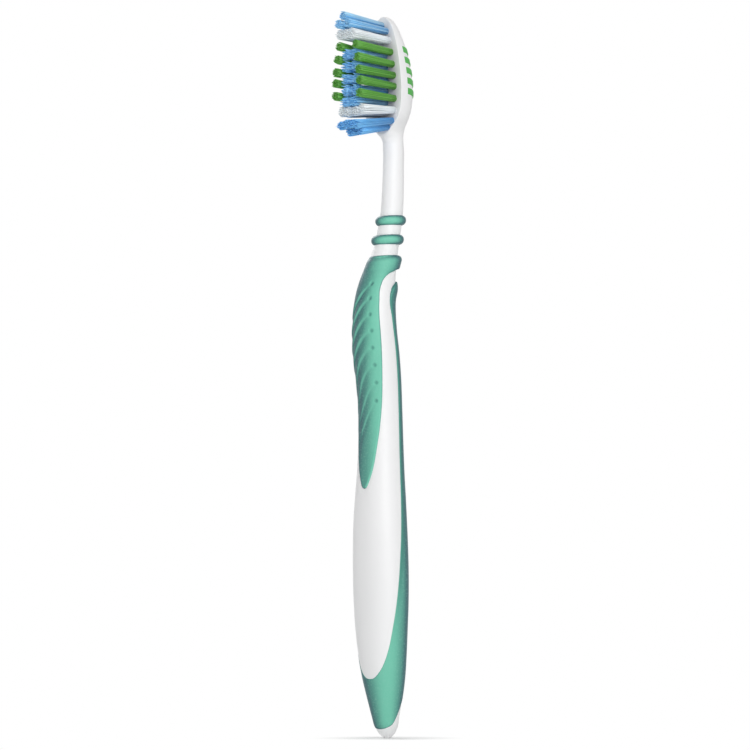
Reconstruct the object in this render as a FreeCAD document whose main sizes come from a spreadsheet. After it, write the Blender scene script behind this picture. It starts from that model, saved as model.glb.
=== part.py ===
import FreeCAD, Part
import Sketcher
import math
import os

# Manual toothbrush, upright: +Z runs from the tail of the handle to the toe of the head.
# The bristles face -Y, the back of the handle faces +Y and X runs across the width.
# The origin is the lowest point of the tail. Lengths are in millimetres.

# Driving dimensions.
SIZES = {
    # handle, neck and head along the brush
    "handle_length": 126.0,
    "neck_length": 32.0,
    "head_length": 32.0,
    # the contoured handle
    "grip_width": 16.0,
    "grip_depth": 11.9,
    "bow_forward": 5.0,
    # the round neck
    "neck_width": 5.6,
    "neck_back_set": 1.95,
    # the head
    "head_width": 15.0,
    "head_thickness": 7.3,
    "face_forward": 2.2,
    "face_inset": 0.8,
    # soft grip skins
    "skin_depth": 1.1,
    "pad_proud": 0.35,
    "strip_proud": 0.45,
    "collar_diameter": 8.9,
    "collar_height": 3.7,
    "collar_round": 1.0,
    "collar_back_set": 0.5,
    "flute_radius": 10.5,
    "flute_depth": 0.45,
    "flute_rise": 0.4,
    "flute_fall": 1.6,
    "dimple_radius": 0.5,
    "dimple_depth": 0.35,
    # soft rings on the neck
    "lower_ring_diameter": 8.7,
    "upper_ring_diameter": 8.2,
    "ring_height": 2.9,
    "ring_round": 0.8,
    "ring_groove": 0.5,
    # tongue cleaner bars on the back of the head
    "bar_height": 1.76,
    "bar_pitch": 2.75,
    "bar_width": 11.6,
    "bar_drop": 2.6,
    "bar_proud": 0.45,
    "bar_seat": 0.6,
    "bar_first_height": 12.7,
    # bristle tufts, their holes and the metal strips that hold them
    "tuft_diameter": 1.7,
    "hole_depth": 2.3,
    "edge_tuft_length": 12.8,
    "inner_tuft_length": 12.2,
    "toe_tuft_length": 14.3,
    "toe_white_length": 13.3,
    "heel_white_length": 11.6,
    "heel_tuft_length": 12.8,
    "tuft_tip_diameter": 2.35,
    "white_tip_diameter": 2.6,
    "anchor_width": 1.95,
    "anchor_height": 1.1,
    "anchor_thickness": 0.25,
    # tools that cut right through reach this far past the form
    "overrun": 2.0,
}

# Handle stations: height, forward bow, half width and half depth as shares of
# handle_length, bow_forward, grip_width and grip_depth.
HANDLE_SHARES = (
    (0.000, 0.06, 0.050, 0.060),
    (0.006, 0.08, 0.110, 0.126),
    (0.020, 0.11, 0.180, 0.206),
    (0.060, 0.20, 0.257, 0.294),
    (0.121, 0.30, 0.356, 0.402),
    (0.196, 0.44, 0.440, 0.464),
    (0.333, 0.53, 0.499, 0.499),
    (0.444, 0.58, 0.470, 0.493),
    (0.548, 0.55, 0.408, 0.445),
    (0.651, 0.54, 0.370, 0.410),
    (0.746, 0.69, 0.378, 0.418),
    (0.799, 0.86, 0.391, 0.426),
    (0.849, 0.97, 0.376, 0.404),
    (0.897, 0.95, 0.350, 0.378),
    (0.972, 0.56, 0.266, 0.316),
)

# Neck stations: height, backward set and radius as shares of neck_length,
# neck_back_set and neck_width.
NECK_SHARES = (
    (0.000, -0.80, 0.640),
    (0.085, -0.36, 0.586),
    (0.300, 0.47, 0.540),
    (0.540, 0.88, 0.516),
    (0.910, 1.00, 0.498),
)

# Head stations: height, place of the middle, half width and half depth as shares
# of head_length, the inset middle of the head, head_width and the uncut half depth.
HEAD_SHARES = (
    (0.000, -1.10, 0.190, 0.450),
    (0.047, -0.36, 0.213, 0.630),
    (0.094, 0.43, 0.290, 0.800),
    (0.148, 0.89, 0.395, 0.905),
    (0.240, 1.00, 0.480, 0.970),
    (0.375, 1.00, 0.500, 1.000),
    (0.562, 1.00, 0.462, 0.925),
    (0.750, 1.00, 0.380, 0.725),
    (0.906, 1.00, 0.258, 0.440),
    (0.975, 1.00, 0.140, 0.265),
    (1.000, 1.00, 0.045, 0.130),
)

# How square each stretch is across: 2 is an ellipse, more is fuller at the corners.
GRIP_FULLNESS = 2.3
NECK_FULLNESS = 2.0
HEAD_FULLNESS = 2.6
SECTION_POINTS = 8
# Inner forms are hidden, so their cross sections have straight sides.
INNER_SIDES = 12

# Rear edge of the thumb pad, seen from the side: height as a share of handle_length,
# and depth from the middle of the handle as a share of its half depth there.
PAD_EDGE_SHARES = (
    (0.522, -1.00),
    (0.537, -0.98),
    (0.567, -0.93),
    (0.601, -0.87),
    (0.649, -0.78),
    (0.690, -0.71),
    (0.743, -0.63),
    (0.797, -0.56),
    (0.837, -0.54),
    (0.876, -0.57),
    (0.906, -0.59),
    (0.944, -0.58),
    (0.958, -0.46),
    (0.968, -0.10),
    (0.978, 0.60),
    (0.981, 1.60),
)

# Front edge of the back strip and the tail sleeve, in the same shares.
STRIP_EDGE_SHARES = (
    (0.122, -1.00),
    (0.130, -0.94),
    (0.146, -0.81),
    (0.186, -0.57),
    (0.233, -0.39),
    (0.279, -0.25),
    (0.323, -0.14),
    (0.377, -0.02),
    (0.431, 0.10),
    (0.504, 0.19),
    (0.595, 0.24),
    (0.702, 0.28),
    (0.801, 0.31),
    (0.836, 0.31),
    (0.875, 0.21),
    (0.905, 0.06),
    (0.927, 0.09),
    (0.946, 0.32),
    (0.955, 0.70),
)

# Lower edge of the tail sleeve, low at the front and high at the back.
SLEEVE_EDGE_SHARES = (
    (0.0185, -1.00),
    (0.0222, -0.74),
    (0.0325, -0.10),
    (0.0468, 0.39),
    (0.0667, 0.68),
    (0.0850, 1.00),
)

# Thumb pad dimples: height as a share of handle_length, side as a share of the half width.
DIMPLE_SHARES = (
    (0.950, 0.42),
    (0.919, 0.45),
    (0.886, 0.50),
    (0.852, 0.55),
    (0.816, 0.56),
    (0.780, 0.58),
    (0.743, 0.58),
    (0.705, 0.54),
)

# A flute crosses the front this share of handle_length below its dimple.
FLUTE_DROP_SHARE = 0.018
# Half the bend of a flute in degrees, and in how many straight steps it is made.
FLUTE_BEND = 36.0
FLUTE_STEPS = 4
# Slopes of a flute's plane: across the pad, and backward.
FLUTE_CROSS_SLOPE = 1.00
FLUTE_BACK_SLOPE = -1.10

# Ring and collar heights as shares of neck_length and handle_length.
LOWER_RING_SHARE = 0.156
UPPER_RING_SHARE = 0.322
COLLAR_SHARE = 0.9925
# How far the rings and the collar rise towards the back, in degrees.
RING_LEAN = 3.5
# A tuft, its hole and a dimple have this many sides.
TUFT_SIDES = 8

# Tuft rows: name, height and side as shares of head_length and half of head_width,
# rise of the tips and inward lean in degrees, length, tip diameter.
TUFT_ROWS = (
    ("tuft_toe_tip", 0.926, 0.000, 5.5, 0.0, "toe_tuft_length", "tuft_tip_diameter"),
    ("tuft_toe_side", 0.874, 0.270, 3.5, 1.0, "toe_tuft_length", "tuft_tip_diameter"),
    ("tuft_toe_white_mid", 0.796, 0.000, 3.5, 0.0, "toe_white_length", "white_tip_diameter"),
    ("tuft_toe_white", 0.794, 0.410, 3.5, 0.0, "toe_white_length", "white_tip_diameter"),
    ("tuft_edge_1", 0.694, 0.545, 4.5, 4.0, "edge_tuft_length", "tuft_tip_diameter"),
    ("tuft_edge_2", 0.592, 0.640, 4.0, 4.0, "edge_tuft_length", "tuft_tip_diameter"),
    ("tuft_edge_3", 0.498, 0.707, 2.5, 4.0, "edge_tuft_length", "tuft_tip_diameter"),
    ("tuft_edge_4", 0.406, 0.745, 2.8, 4.0, "edge_tuft_length", "tuft_tip_diameter"),
    ("tuft_edge_5", 0.305, 0.745, 2.0, 4.0, "edge_tuft_length", "tuft_tip_diameter"),
    ("tuft_inner_1", 0.674, 0.200, -3.0, 0.0, "inner_tuft_length", "tuft_tip_diameter"),
    ("tuft_inner_2", 0.570, 0.227, -3.0, 0.0, "inner_tuft_length", "tuft_tip_diameter"),
    ("tuft_inner_3", 0.470, 0.250, -3.0, 0.0, "inner_tuft_length", "tuft_tip_diameter"),
    ("tuft_inner_4", 0.374, 0.250, -3.0, 0.0, "inner_tuft_length", "tuft_tip_diameter"),
    ("tuft_inner_5", 0.281, 0.250, -3.0, 0.0, "inner_tuft_length", "tuft_tip_diameter"),
    ("tuft_heel_white", 0.210, 0.707, -3.2, 2.0, "heel_white_length", "white_tip_diameter"),
    ("tuft_heel_white_mid", 0.200, 0.250, -3.2, 0.0, "heel_white_length", "tuft_tip_diameter"),
    ("tuft_heel_side", 0.124, 0.600, -8.5, 3.0, "heel_tuft_length", "tuft_tip_diameter"),
    ("tuft_heel_mid", 0.130, 0.160, -8.5, 0.0, "heel_tuft_length", "tuft_tip_diameter"),
    ("tuft_heel_low", 0.077, 0.350, -10.5, 0.0, "heel_tuft_length", "tuft_tip_diameter"),
)

BAR_COUNT = 5

doc = FreeCAD.newDocument("manual_toothbrush")
sheet = doc.addObject("Spreadsheet::Sheet", "Sizes")
for row, (alias, value) in enumerate(SIZES.items(), start=1):
    sheet.set(f"A{row}", alias)
    sheet.set(f"B{row}", str(value))
    sheet.setAlias(f"B{row}", alias)
doc.recompute()


def size(alias):
    """A driving dimension, read back from the sheet."""
    return float(getattr(sheet, alias))


def bind(item, **sizes):
    """Bind properties of a document object to the sheet."""
    for name, formula in sizes.items():
        item.setExpression(name, formula)
    return item


# The form of the brush.
def stations():
    """Every cross section: height, middle along Y, half width, half depth, fullness."""
    found = []
    for high, bow, wide, deep in HANDLE_SHARES:
        middle = -bow * size("bow_forward")
        found.append((high * size("handle_length"), middle, wide * size("grip_width"),
                      deep * size("grip_depth"), GRIP_FULLNESS))
    for high, back, round_share in NECK_SHARES:
        radius = round_share * size("neck_width")
        found.append((size("handle_length") + high * size("neck_length"), back * size("neck_back_set"),
                      radius, radius, NECK_FULLNESS))
    inset_middle = -(size("face_forward") - size("face_inset"))
    half_depth = size("head_thickness") - size("face_inset")
    head_start = size("handle_length") + size("neck_length")
    for high, place, wide, deep in HEAD_SHARES:
        fullness = NECK_FULLNESS + (HEAD_FULLNESS - NECK_FULLNESS) * min(1.0, high / HEAD_SHARES[4][0])
        found.append((head_start + high * size("head_length"), place * inset_middle,
                      wide * size("head_width"), deep * half_depth, fullness))
    return found


STATIONS = stations()


def section_at(height):
    """Middle, half width and half depth at a height, on a smooth curve through the stations."""
    last = len(STATIONS) - 1
    index = 0
    while index < last - 1 and STATIONS[index + 1][0] < height:
        index += 1
    before = STATIONS[max(index - 1, 0)]
    low = STATIONS[index]
    high = STATIONS[index + 1]
    after = STATIONS[min(index + 2, last)]
    span = high[0] - low[0]
    along = (height - low[0]) / span
    values = []
    for column in (1, 2, 3):
        start_slope = (high[column] - before[column]) / (high[0] - before[0])
        end_slope = (after[column] - low[column]) / (after[0] - low[0])
        values.append((2 * along ** 3 - 3 * along ** 2 + 1) * low[column]
                      + (along ** 3 - 2 * along ** 2 + along) * span * start_slope
                      + (3 * along ** 2 - 2 * along ** 3) * high[column]
                      + (along ** 3 - along ** 2) * span * end_slope)
    return values


def section_curve(middle, half_width, half_depth, fullness, height, start):
    """One closed cross section, fuller at the corners than an ellipse, from the start side round."""
    points = []
    for step in range(SECTION_POINTS):
        turn = 2 * math.pi * step / SECTION_POINTS
        reach = (abs(math.sin(turn)) ** fullness + abs(math.cos(turn)) ** fullness) ** (-1 / fullness)
        across = half_width * reach * math.sin(turn)
        along = half_depth * reach * math.cos(turn)
        points.append(FreeCAD.Vector(start * across, middle + start * along, height))
    knots = [step / SECTION_POINTS for step in range(SECTION_POINTS + 1)]
    curve = Part.BSplineCurve()
    curve.interpolate(Points=points, PeriodicFlag=True, Parameters=knots)
    return curve


def walked():
    """How far each station lies along the outside of the brush from the tail."""
    lengths = [0.0]
    for before, after in zip(STATIONS, STATIONS[1:]):
        steps = [after[column] - before[column] for column in range(4)]
        lengths.append(lengths[-1] + math.sqrt(sum(step * step for step in steps)))
    return lengths


WALKED = walked()


def brush_form(label, offset, first, last, start):
    """The skinned form from one station to another, grown or shrunk by the offset."""
    curves = []
    for height, middle, half_width, half_depth, fullness in STATIONS:
        wide = max(half_width + offset, half_width / 4)
        deep = max(half_depth + offset, half_depth / 4)
        curves.append(section_curve(middle, wide, deep, fullness, height, start))
    rows = []
    for poles in zip(*[curve.getPoles() for curve in curves]):
        along = Part.BSplineCurve()
        along.interpolate(Points=list(poles), Parameters=WALKED)
        rows.append(along)
    skin = Part.BSplineSurface()
    skin.buildFromPolesMultsKnots([row.getPoles() for row in rows],
                                  curves[0].getMultiplicities(), rows[0].getMultiplicities(),
                                  curves[0].getKnots(), rows[0].getKnots(), True, False, 3, 3)
    side = skin.toShape(0, 1, WALKED[first], WALKED[last])
    caps = [Part.Face(Part.Wire([skin.vIso(WALKED[index]).toShape()])) for index in (first, last)]
    shell = Part.Shell([side] + caps)
    shell.sewShape()
    solid = Part.Solid(shell)
    form = doc.addObject("Part::Feature", label)
    form.Shape = solid if solid.Volume > 0 else solid.reversed()
    return form


def inner_form(label, offset, first, last):
    """A plain form inside the skinned one, with straight sides from station to station."""
    sections = []
    for height, middle, half_width, half_depth, fullness in STATIONS[first:last + 1]:
        points = []
        for step in range(INNER_SIDES + 1):
            turn = 2 * math.pi * (step % INNER_SIDES) / INNER_SIDES
            reach = (abs(math.sin(turn)) ** fullness + abs(math.cos(turn)) ** fullness) ** (-1 / fullness)
            across = max(half_width + offset, half_width / 4) * reach * math.sin(turn)
            along = max(half_depth + offset, half_depth / 4) * reach * math.cos(turn)
            points.append(FreeCAD.Vector(across, middle + along, height))
        sections.append(Part.makePolygon(points))
    form = doc.addObject("Part::Feature", label)
    form.Shape = Part.makeLoft(sections, True, True)
    return form


def edge_points(shares):
    """Points of a side outline at the shares of the handle's height and half depth."""
    points = []
    for high, deep in shares:
        height = high * size("handle_length")
        middle, half_width, half_depth = section_at(height)
        points.append(FreeCAD.Vector(0, middle + deep * half_depth, height))
    return points


def side_prism(label, edges):
    """A prism across the whole width, bounded by curves and straight lines seen from the side."""
    lines = []
    for points in edges:
        if len(points) > 2:
            curve = Part.BSplineCurve()
            curve.interpolate(Points=points)
            lines.append(curve.toShape())
        else:
            lines.append(Part.LineSegment(points[0], points[1]).toShape())
    outline = doc.addObject("Part::Feature", label + "_outline")
    outline.Shape = Part.Face(Part.Wire(lines))
    prism = doc.addObject("Part::Extrusion", label)
    prism.Base = outline
    prism.DirMode = "Custom"
    prism.Dir = FreeCAD.Vector(1, 0, 0)
    prism.Solid = True
    prism.Symmetric = True
    bind(prism, LengthFwd="<<Sizes>>.grip_width + 2 * <<Sizes>>.overrun")
    return prism


def boolean(kind, label, base, tool):
    """A cut or a common of two objects."""
    item = doc.addObject(kind, label)
    item.Base = base
    item.Tool = tool
    return item


def fused(label, pieces):
    """Several objects made one tool."""
    item = doc.addObject("Part::MultiFuse", label)
    item.Shapes = pieces
    return item


# Places of stations that bound the forms. The lower forms are joined at the back, the head in front.
FROM_BACK = 1
FROM_FRONT = -1
PAD_START = len(HANDLE_SHARES) // 2
NECK_START = len(HANDLE_SHARES)
WAIST = NECK_START + 3
HEAD_START = NECK_START + len(NECK_SHARES)
TOE = len(STATIONS) - 1

lower_form = brush_form("lower_form", 0.0, 0, WAIST, FROM_BACK)
upper_form = brush_form("upper_form", 0.0, WAIST, TOE, FROM_FRONT)
core_form = inner_form("core_form", -size("skin_depth"), 0, NECK_START + 1)
pad_core_form = inner_form("pad_core_form", -size("skin_depth"), PAD_START, NECK_START + 1)
pad_form = brush_form("pad_form", size("pad_proud"), PAD_START, NECK_START + 1, FROM_BACK)
strip_form = brush_form("strip_form", size("strip_proud"), 0, NECK_START + 1, FROM_BACK)
overrun = size("overrun")


# Thumb pad with its collar.
def front_of(height):
    """The front of the plain form at a height."""
    middle, half_width, half_depth = section_at(height)
    return middle - half_depth


def leaning_place(height, back_set):
    """A place on the middle line of the neck, a little higher at the back than in front."""
    middle = section_at(height)[0] + back_set
    return FreeCAD.Placement(FreeCAD.Vector(0, middle, height),
                             FreeCAD.Rotation(FreeCAD.Vector(1, 0, 0), RING_LEAN))


def blunt_disc(label, diameter, thickness, rounding, place):
    """A disc with blunted edges: a padded circle with a chamfer at both rims."""
    body = doc.addObject("PartDesign::Body", label)
    plane = [item for item in body.Origin.OriginFeatures if item.Role == "XY_Plane"][0]
    circle = body.newObject("Sketcher::SketchObject", label + "_circle")
    circle.AttachmentSupport = [(plane, "")]
    circle.MapMode = "FlatFace"
    circle.addGeometry(Part.Circle(FreeCAD.Vector(0, 0, 0), FreeCAD.Vector(0, 0, 1), size(diameter) / 2), False)
    circle.addConstraint(Sketcher.Constraint("Coincident", 0, 3, -1, 1))
    circle.addConstraint(Sketcher.Constraint("Radius", 0, size(diameter) / 2))
    circle.setExpression("Constraints[1]", f"<<Sizes>>.{diameter} / 2")
    pad = body.newObject("PartDesign::Pad", label + "_pad")
    pad.Profile = circle
    pad.Midplane = True
    bind(pad, Length=f"<<Sizes>>.{thickness}")
    doc.recompute()
    rims = [f"Edge{index}" for index, edge in enumerate(pad.Shape.Edges, start=1)
            if isinstance(edge.Curve, Part.Circle)]
    chamfer = body.newObject("PartDesign::Chamfer", label + "_rims")
    chamfer.Base = (pad, rims)
    bind(chamfer, Size=f"<<Sizes>>.{rounding}")
    body.Placement = place
    return body


def flute_edge(label, centre, inward, across, radius, lift):
    """One edge of a flute: a bent line round the front of the pad, closed outside it."""
    points = []
    for step in range(FLUTE_STEPS + 1):
        turn = math.radians(FLUTE_BEND * (2 * step / FLUTE_STEPS - 1))
        points.append(centre - inward * radius * math.cos(turn) + across * radius * math.sin(turn))
    outside = inward * (size("flute_radius") + overrun)
    reach = across * radius * math.sin(math.radians(FLUTE_BEND))
    points.append(centre - outside + reach)
    points.append(centre - outside - reach)
    edge = doc.addObject("Part::Feature", label)
    edge.Shape = Part.makePolygon([point + lift for point in points + points[:1]])
    return edge


def make_flute(number, crossing):
    """A shallow bent groove across the front of the pad, steep above and gentle below."""
    normal = FreeCAD.Vector(-FLUTE_CROSS_SLOPE, -FLUTE_BACK_SLOPE, 1).normalize()
    inward = FreeCAD.Vector(0, 1, FLUTE_BACK_SLOPE).normalize()
    across = FreeCAD.Vector(1, 0, FLUTE_CROSS_SLOPE).normalize()
    front = FreeCAD.Vector(0, front_of(crossing) - size("pad_proud"), crossing)
    centre = front + inward * size("flute_radius")
    lifts = [size("flute_rise"), 0, -size("flute_fall")]
    depths = [0, size("flute_depth"), 0]
    edges = [flute_edge(f"flute_{number}_edge_{place}", centre, inward, across,
                        size("flute_radius") - depth, normal * lift)
             for place, (lift, depth) in enumerate(zip(lifts, depths), start=1)]
    flute = doc.addObject("Part::Loft", f"flute_{number}")
    flute.Sections = edges
    flute.Solid = True
    flute.Ruled = True
    return flute


def make_dimple(number, height, side):
    """A small flat-bottomed dimple in the pad's surface."""
    middle, half_width, half_depth = section_at(height)
    wide = half_width + size("pad_proud")
    deep = half_depth + size("pad_proud")
    forward = (1 - side ** GRIP_FULLNESS) ** (1 / GRIP_FULLNESS)
    outward = FreeCAD.Vector(side ** (GRIP_FULLNESS - 1) / wide, -forward ** (GRIP_FULLNESS - 1) / deep, 0).normalize()
    spot = FreeCAD.Vector(side * wide, middle - forward * deep, height)
    dimple = doc.addObject("Part::Prism", f"dimple_{number}")
    dimple.Polygon = TUFT_SIDES
    bind(dimple, Circumradius="<<Sizes>>.dimple_radius", Height="2 * <<Sizes>>.dimple_depth")
    dimple.Placement = FreeCAD.Placement(spot - outward * size("dimple_depth"),
                                         FreeCAD.Rotation(FreeCAD.Vector(0, 0, 1), outward))
    return dimple


def make_thumb_grip():
    """The front pad and the collar above it, with flutes and dimples for the thumb."""
    edge = edge_points(PAD_EDGE_SHARES)
    collar_height = COLLAR_SHARE * size("handle_length")
    far = -size("bow_forward") - size("grip_depth")
    crown = FreeCAD.Vector(0, edge[-1].y, collar_height)
    top = FreeCAD.Vector(0, far, collar_height)
    foot = FreeCAD.Vector(0, far, edge[0].z)
    prism = side_prism("pad_prism", [edge, [edge[-1], crown], [crown, top], [top, foot], [foot, edge[0]]])
    shell = boolean("Part::Common", "pad_shell", pad_form, prism)
    collar = blunt_disc("collar_disc", "collar_diameter", "collar_height", "collar_round",
                        leaning_place(collar_height, size("collar_back_set")))
    raw = fused("pad_and_collar", [shell, collar])
    tools = []
    for number, (high, side) in enumerate(DIMPLE_SHARES, start=1):
        tools.append(make_flute(number, (high - FLUTE_DROP_SHARE) * size("handle_length")))
        tools.append(make_dimple(number, high * size("handle_length"), side))
    fluted = boolean("Part::Cut", "pad_fluted", raw, fused("pad_tools", tools))
    return boolean("Part::Cut", "thumb_grip", fluted, pad_core_form), raw


# Back strip that widens into a sleeve round the tail.
def make_back_grip():
    """The strip down the back and the sleeve round the tail, in one skin."""
    front = edge_points(STRIP_EDGE_SHARES)
    hem = edge_points(SLEEVE_EDGE_SHARES)
    fore = -size("bow_forward") - size("grip_depth")
    aft = size("grip_depth")
    start = FreeCAD.Vector(0, fore, front[0].z)
    foot = FreeCAD.Vector(0, fore, hem[0].z)
    heel = FreeCAD.Vector(0, aft, hem[-1].z)
    crown = FreeCAD.Vector(0, aft, front[-1].z)
    prism = side_prism("strip_prism", [front, [front[-1], crown], [crown, heel], [heel, hem[-1]],
                                       list(reversed(hem)), [hem[0], foot], [foot, start], [start, front[0]]])
    shell = boolean("Part::Common", "strip_shell", strip_form, prism)
    return boolean("Part::Cut", "back_grip", shell, core_form), shell


# Soft rings round the neck, each seated in a shallow groove.
def make_ring(label, diameter, share, groove_form):
    """One soft ring: a blunt disc bored to the groove's floor."""
    height = size("handle_length") + share * size("neck_length")
    disc = blunt_disc(label + "_disc", diameter, "ring_height", "ring_round", leaning_place(height, 0))
    return boolean("Part::Cut", label, disc, groove_form), disc


# Tongue cleaner bars: shallow chevrons round the back of the head.
def make_bars():
    """Proud soft bars across the back of the head, seated in slots."""
    bar_form = brush_form("bar_form", size("bar_proud"), HEAD_START, TOE, FROM_FRONT)
    seat_form = inner_form("seat_form", -size("bar_seat"), HEAD_START, TOE)
    bar_skin = boolean("Part::Cut", "bar_skin", bar_form, seat_form)
    head_start = size("handle_length") + size("neck_length")
    half = size("bar_width") / 2
    bars = []
    for number in range(BAR_COUNT):
        low = head_start + size("bar_first_height") - size("bar_pitch") / 2 + number * size("bar_pitch")
        high = low + size("bar_height")
        drop = size("bar_drop")
        corners = [(-half, low), (0, low - drop), (half, low), (half, high), (0, high - drop), (-half, high)]
        points = [FreeCAD.Vector(across, 0, height) for across, height in corners]
        outline = doc.addObject("Part::Feature", f"bar_outline_{number + 1}")
        outline.Shape = Part.Face(Part.makePolygon(points + points[:1]))
        prism = doc.addObject("Part::Extrusion", f"bar_prism_{number + 1}")
        prism.Base = outline
        prism.DirMode = "Custom"
        prism.Dir = FreeCAD.Vector(0, 1, 0)
        prism.Solid = True
        bind(prism, LengthFwd="<<Sizes>>.head_thickness + <<Sizes>>.overrun")
        bars.append(boolean("Part::Common", f"tongue_bar_{number + 1}", bar_skin, prism))
    return bars


# Bristle tufts, each held in a blind hole by a folded metal strip.
def tuft_place(high, side, rise, lean):
    """The middle of a tuft's hole on the face, with its own Z along the tuft."""
    height = size("handle_length") + size("neck_length") + high * size("head_length")
    base = FreeCAD.Vector(side * size("head_width") / 2, -size("face_forward"), height)
    inward = math.tan(math.radians(lean)) * (side > 0) - math.tan(math.radians(lean)) * (side < 0)
    along = FreeCAD.Vector(-inward, -1, math.tan(math.radians(rise)))
    return base, FreeCAD.Rotation(FreeCAD.Vector(0, 0, 1), along)


def tuft_section(label, radius, place):
    """One cross section of a tuft."""
    section = doc.addObject("Part::RegularPolygon", label)
    section.Polygon = TUFT_SIDES
    bind(section, Circumradius=radius)
    section.Placement = place
    return section


def make_tuft(label, high, side, rise, lean, length, tip):
    """A tuft, the hole it fills and its strip: straight in the hole, wider towards the tips."""
    base, turn = tuft_place(high, side, rise, lean)
    along = turn.multVec(FreeCAD.Vector(0, 0, 1))
    bottom = FreeCAD.Placement(base - along * size("hole_depth"), turn)
    mouth = FreeCAD.Placement(base + along * size("tuft_diameter") / 4, turn)
    top = FreeCAD.Placement(base + along * size(length), turn)
    straight = "<<Sizes>>.tuft_diameter / 2"
    whole = doc.addObject("Part::Loft", label + "_whole")
    whole.Sections = [tuft_section(label + "_bottom", straight, bottom),
                      tuft_section(label + "_mouth", straight, mouth),
                      tuft_section(label + "_tips", f"<<Sizes>>.{tip} / 2", top)]
    whole.Solid = True
    whole.Ruled = True
    hole = doc.addObject("Part::Prism", label + "_hole")
    hole.Polygon = TUFT_SIDES
    bind(hole, Circumradius=straight, Height="<<Sizes>>.hole_depth + <<Sizes>>.tuft_diameter / 4")
    hole.Placement = bottom
    strip = doc.addObject("Part::Box", label + "_anchor")
    bind(strip, Length="<<Sizes>>.anchor_width", Width="<<Sizes>>.anchor_thickness",
         Height="<<Sizes>>.anchor_height")
    corner = FreeCAD.Vector(-size("anchor_width") / 2, -size("anchor_thickness") / 2, 0)
    strip.Placement = FreeCAD.Placement(bottom.Base + turn.multVec(corner), turn)
    return boolean("Part::Cut", label, whole, strip), hole, strip


def make_tufts():
    """Every tuft, row by row, with mirrored rows on both sides."""
    tufts = []
    holes = []
    strips = []
    for label, high, side, rise, lean, length, tip in TUFT_ROWS:
        places = [(label, 0.0)] if side == 0 else [(label + "_left", -side), (label + "_right", side)]
        for name, across in places:
            tuft, hole, strip = make_tuft(name, high, across, rise, lean, length, tip)
            tufts.append(tuft)
            holes.append(hole)
            strips.append(strip)
    anchors = doc.addObject("Part::Compound", "tuft_anchors")
    anchors.Links = strips
    return tufts, holes, anchors


# The rigid handle, neck and head: the form less its face, recesses, grooves, slots and holes.
def grouped(label, pieces):
    """Several separate objects kept as one."""
    item = doc.addObject("Part::Compound", label)
    item.Links = pieces
    return item


def make_handle_body(skins, rings, bars, holes, anchors):
    """The moulded body: the lower half less its skins and rings, and the head less its seats and holes."""
    face = doc.addObject("Part::Box", "face_cut")
    bind(face, Length="<<Sizes>>.head_width + 2 * <<Sizes>>.overrun",
         Width="<<Sizes>>.head_thickness + <<Sizes>>.overrun",
         Height="<<Sizes>>.head_length + <<Sizes>>.overrun")
    corner = FreeCAD.Vector(-size("head_width") / 2 - overrun,
                            -size("face_forward") - size("head_thickness") - overrun,
                            size("handle_length") + size("neck_length"))
    face.Placement.Base = corner
    ringed = boolean("Part::Cut", "ringed_form", lower_form, grouped("ring_seats", rings))
    lower = boolean("Part::Cut", "lower_body", ringed, grouped("skin_seats", skins))
    faced = boolean("Part::Cut", "faced_form", upper_form, face)
    slotted = boolean("Part::Cut", "slotted_form", faced, grouped("bar_slots", bars))
    drilled = boolean("Part::Cut", "drilled_form", slotted, grouped("tuft_holes", holes))
    upper = boolean("Part::Cut", "upper_body", drilled, anchors)
    return boolean("Part::Fuse", "handle_body", lower, upper)


thumb_grip, thumb_raw = make_thumb_grip()
back_grip, back_raw = make_back_grip()
groove_form = inner_form("groove_form", -size("ring_groove"), NECK_START, WAIST)
lower_ring, lower_disc = make_ring("neck_ring_lower", "lower_ring_diameter", LOWER_RING_SHARE, groove_form)
upper_ring, upper_disc = make_ring("neck_ring_upper", "upper_ring_diameter", UPPER_RING_SHARE, groove_form)
bars = make_bars()
tufts, holes, anchors = make_tufts()
doc.recompute()

seat_pad = boolean("Part::Cut", "seat_pad", thumb_raw, pad_core_form)
handle_body = make_handle_body([seat_pad, back_grip], [lower_ring, upper_ring], bars, holes, anchors)
doc.recompute()

nodes = [handle_body, thumb_grip, back_grip, lower_ring, upper_ring] + bars + tufts + [anchors]
for item in doc.Objects:
    if "Invalid" in item.State or "Error" in item.State:
        raise RuntimeError(f"{item.Label}: {item.State}")
for item in nodes:
    if item.Shape.isNull() or not item.Shape.isValid() or item.Shape.Volume <= 0:
        raise RuntimeError(f"{item.Label}: no valid solid")
    print(f"{item.Label}: {len(item.Shape.Solids)} solids, {item.Shape.Volume:.1f} mm3")
os.makedirs("parts", exist_ok=True)
for item in nodes:
    item.Shape.exportStep(f"parts/{item.Label}.step")
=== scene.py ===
# %% [markdown]
# # A manual toothbrush, dressed for its portrait
#
# The packed model brings every rigid piece at its real size and in its real place. This lesson
# gives the brush its looks: glossy white plastic, pearly soft grips with a grain, rounded rings
# and, above all, bristles. The brush stands upright, with its bristles towards -Y.
#
# All sizes here are millimetres, and `MM` turns them into the metres that Blender uses. The
# numbers that describe the form are the ones a drawing would carry: cross sections at stations
# along the brush. Names in capitals are values to try out, the others are worked out from them.

# %% The frame
import math

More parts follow.
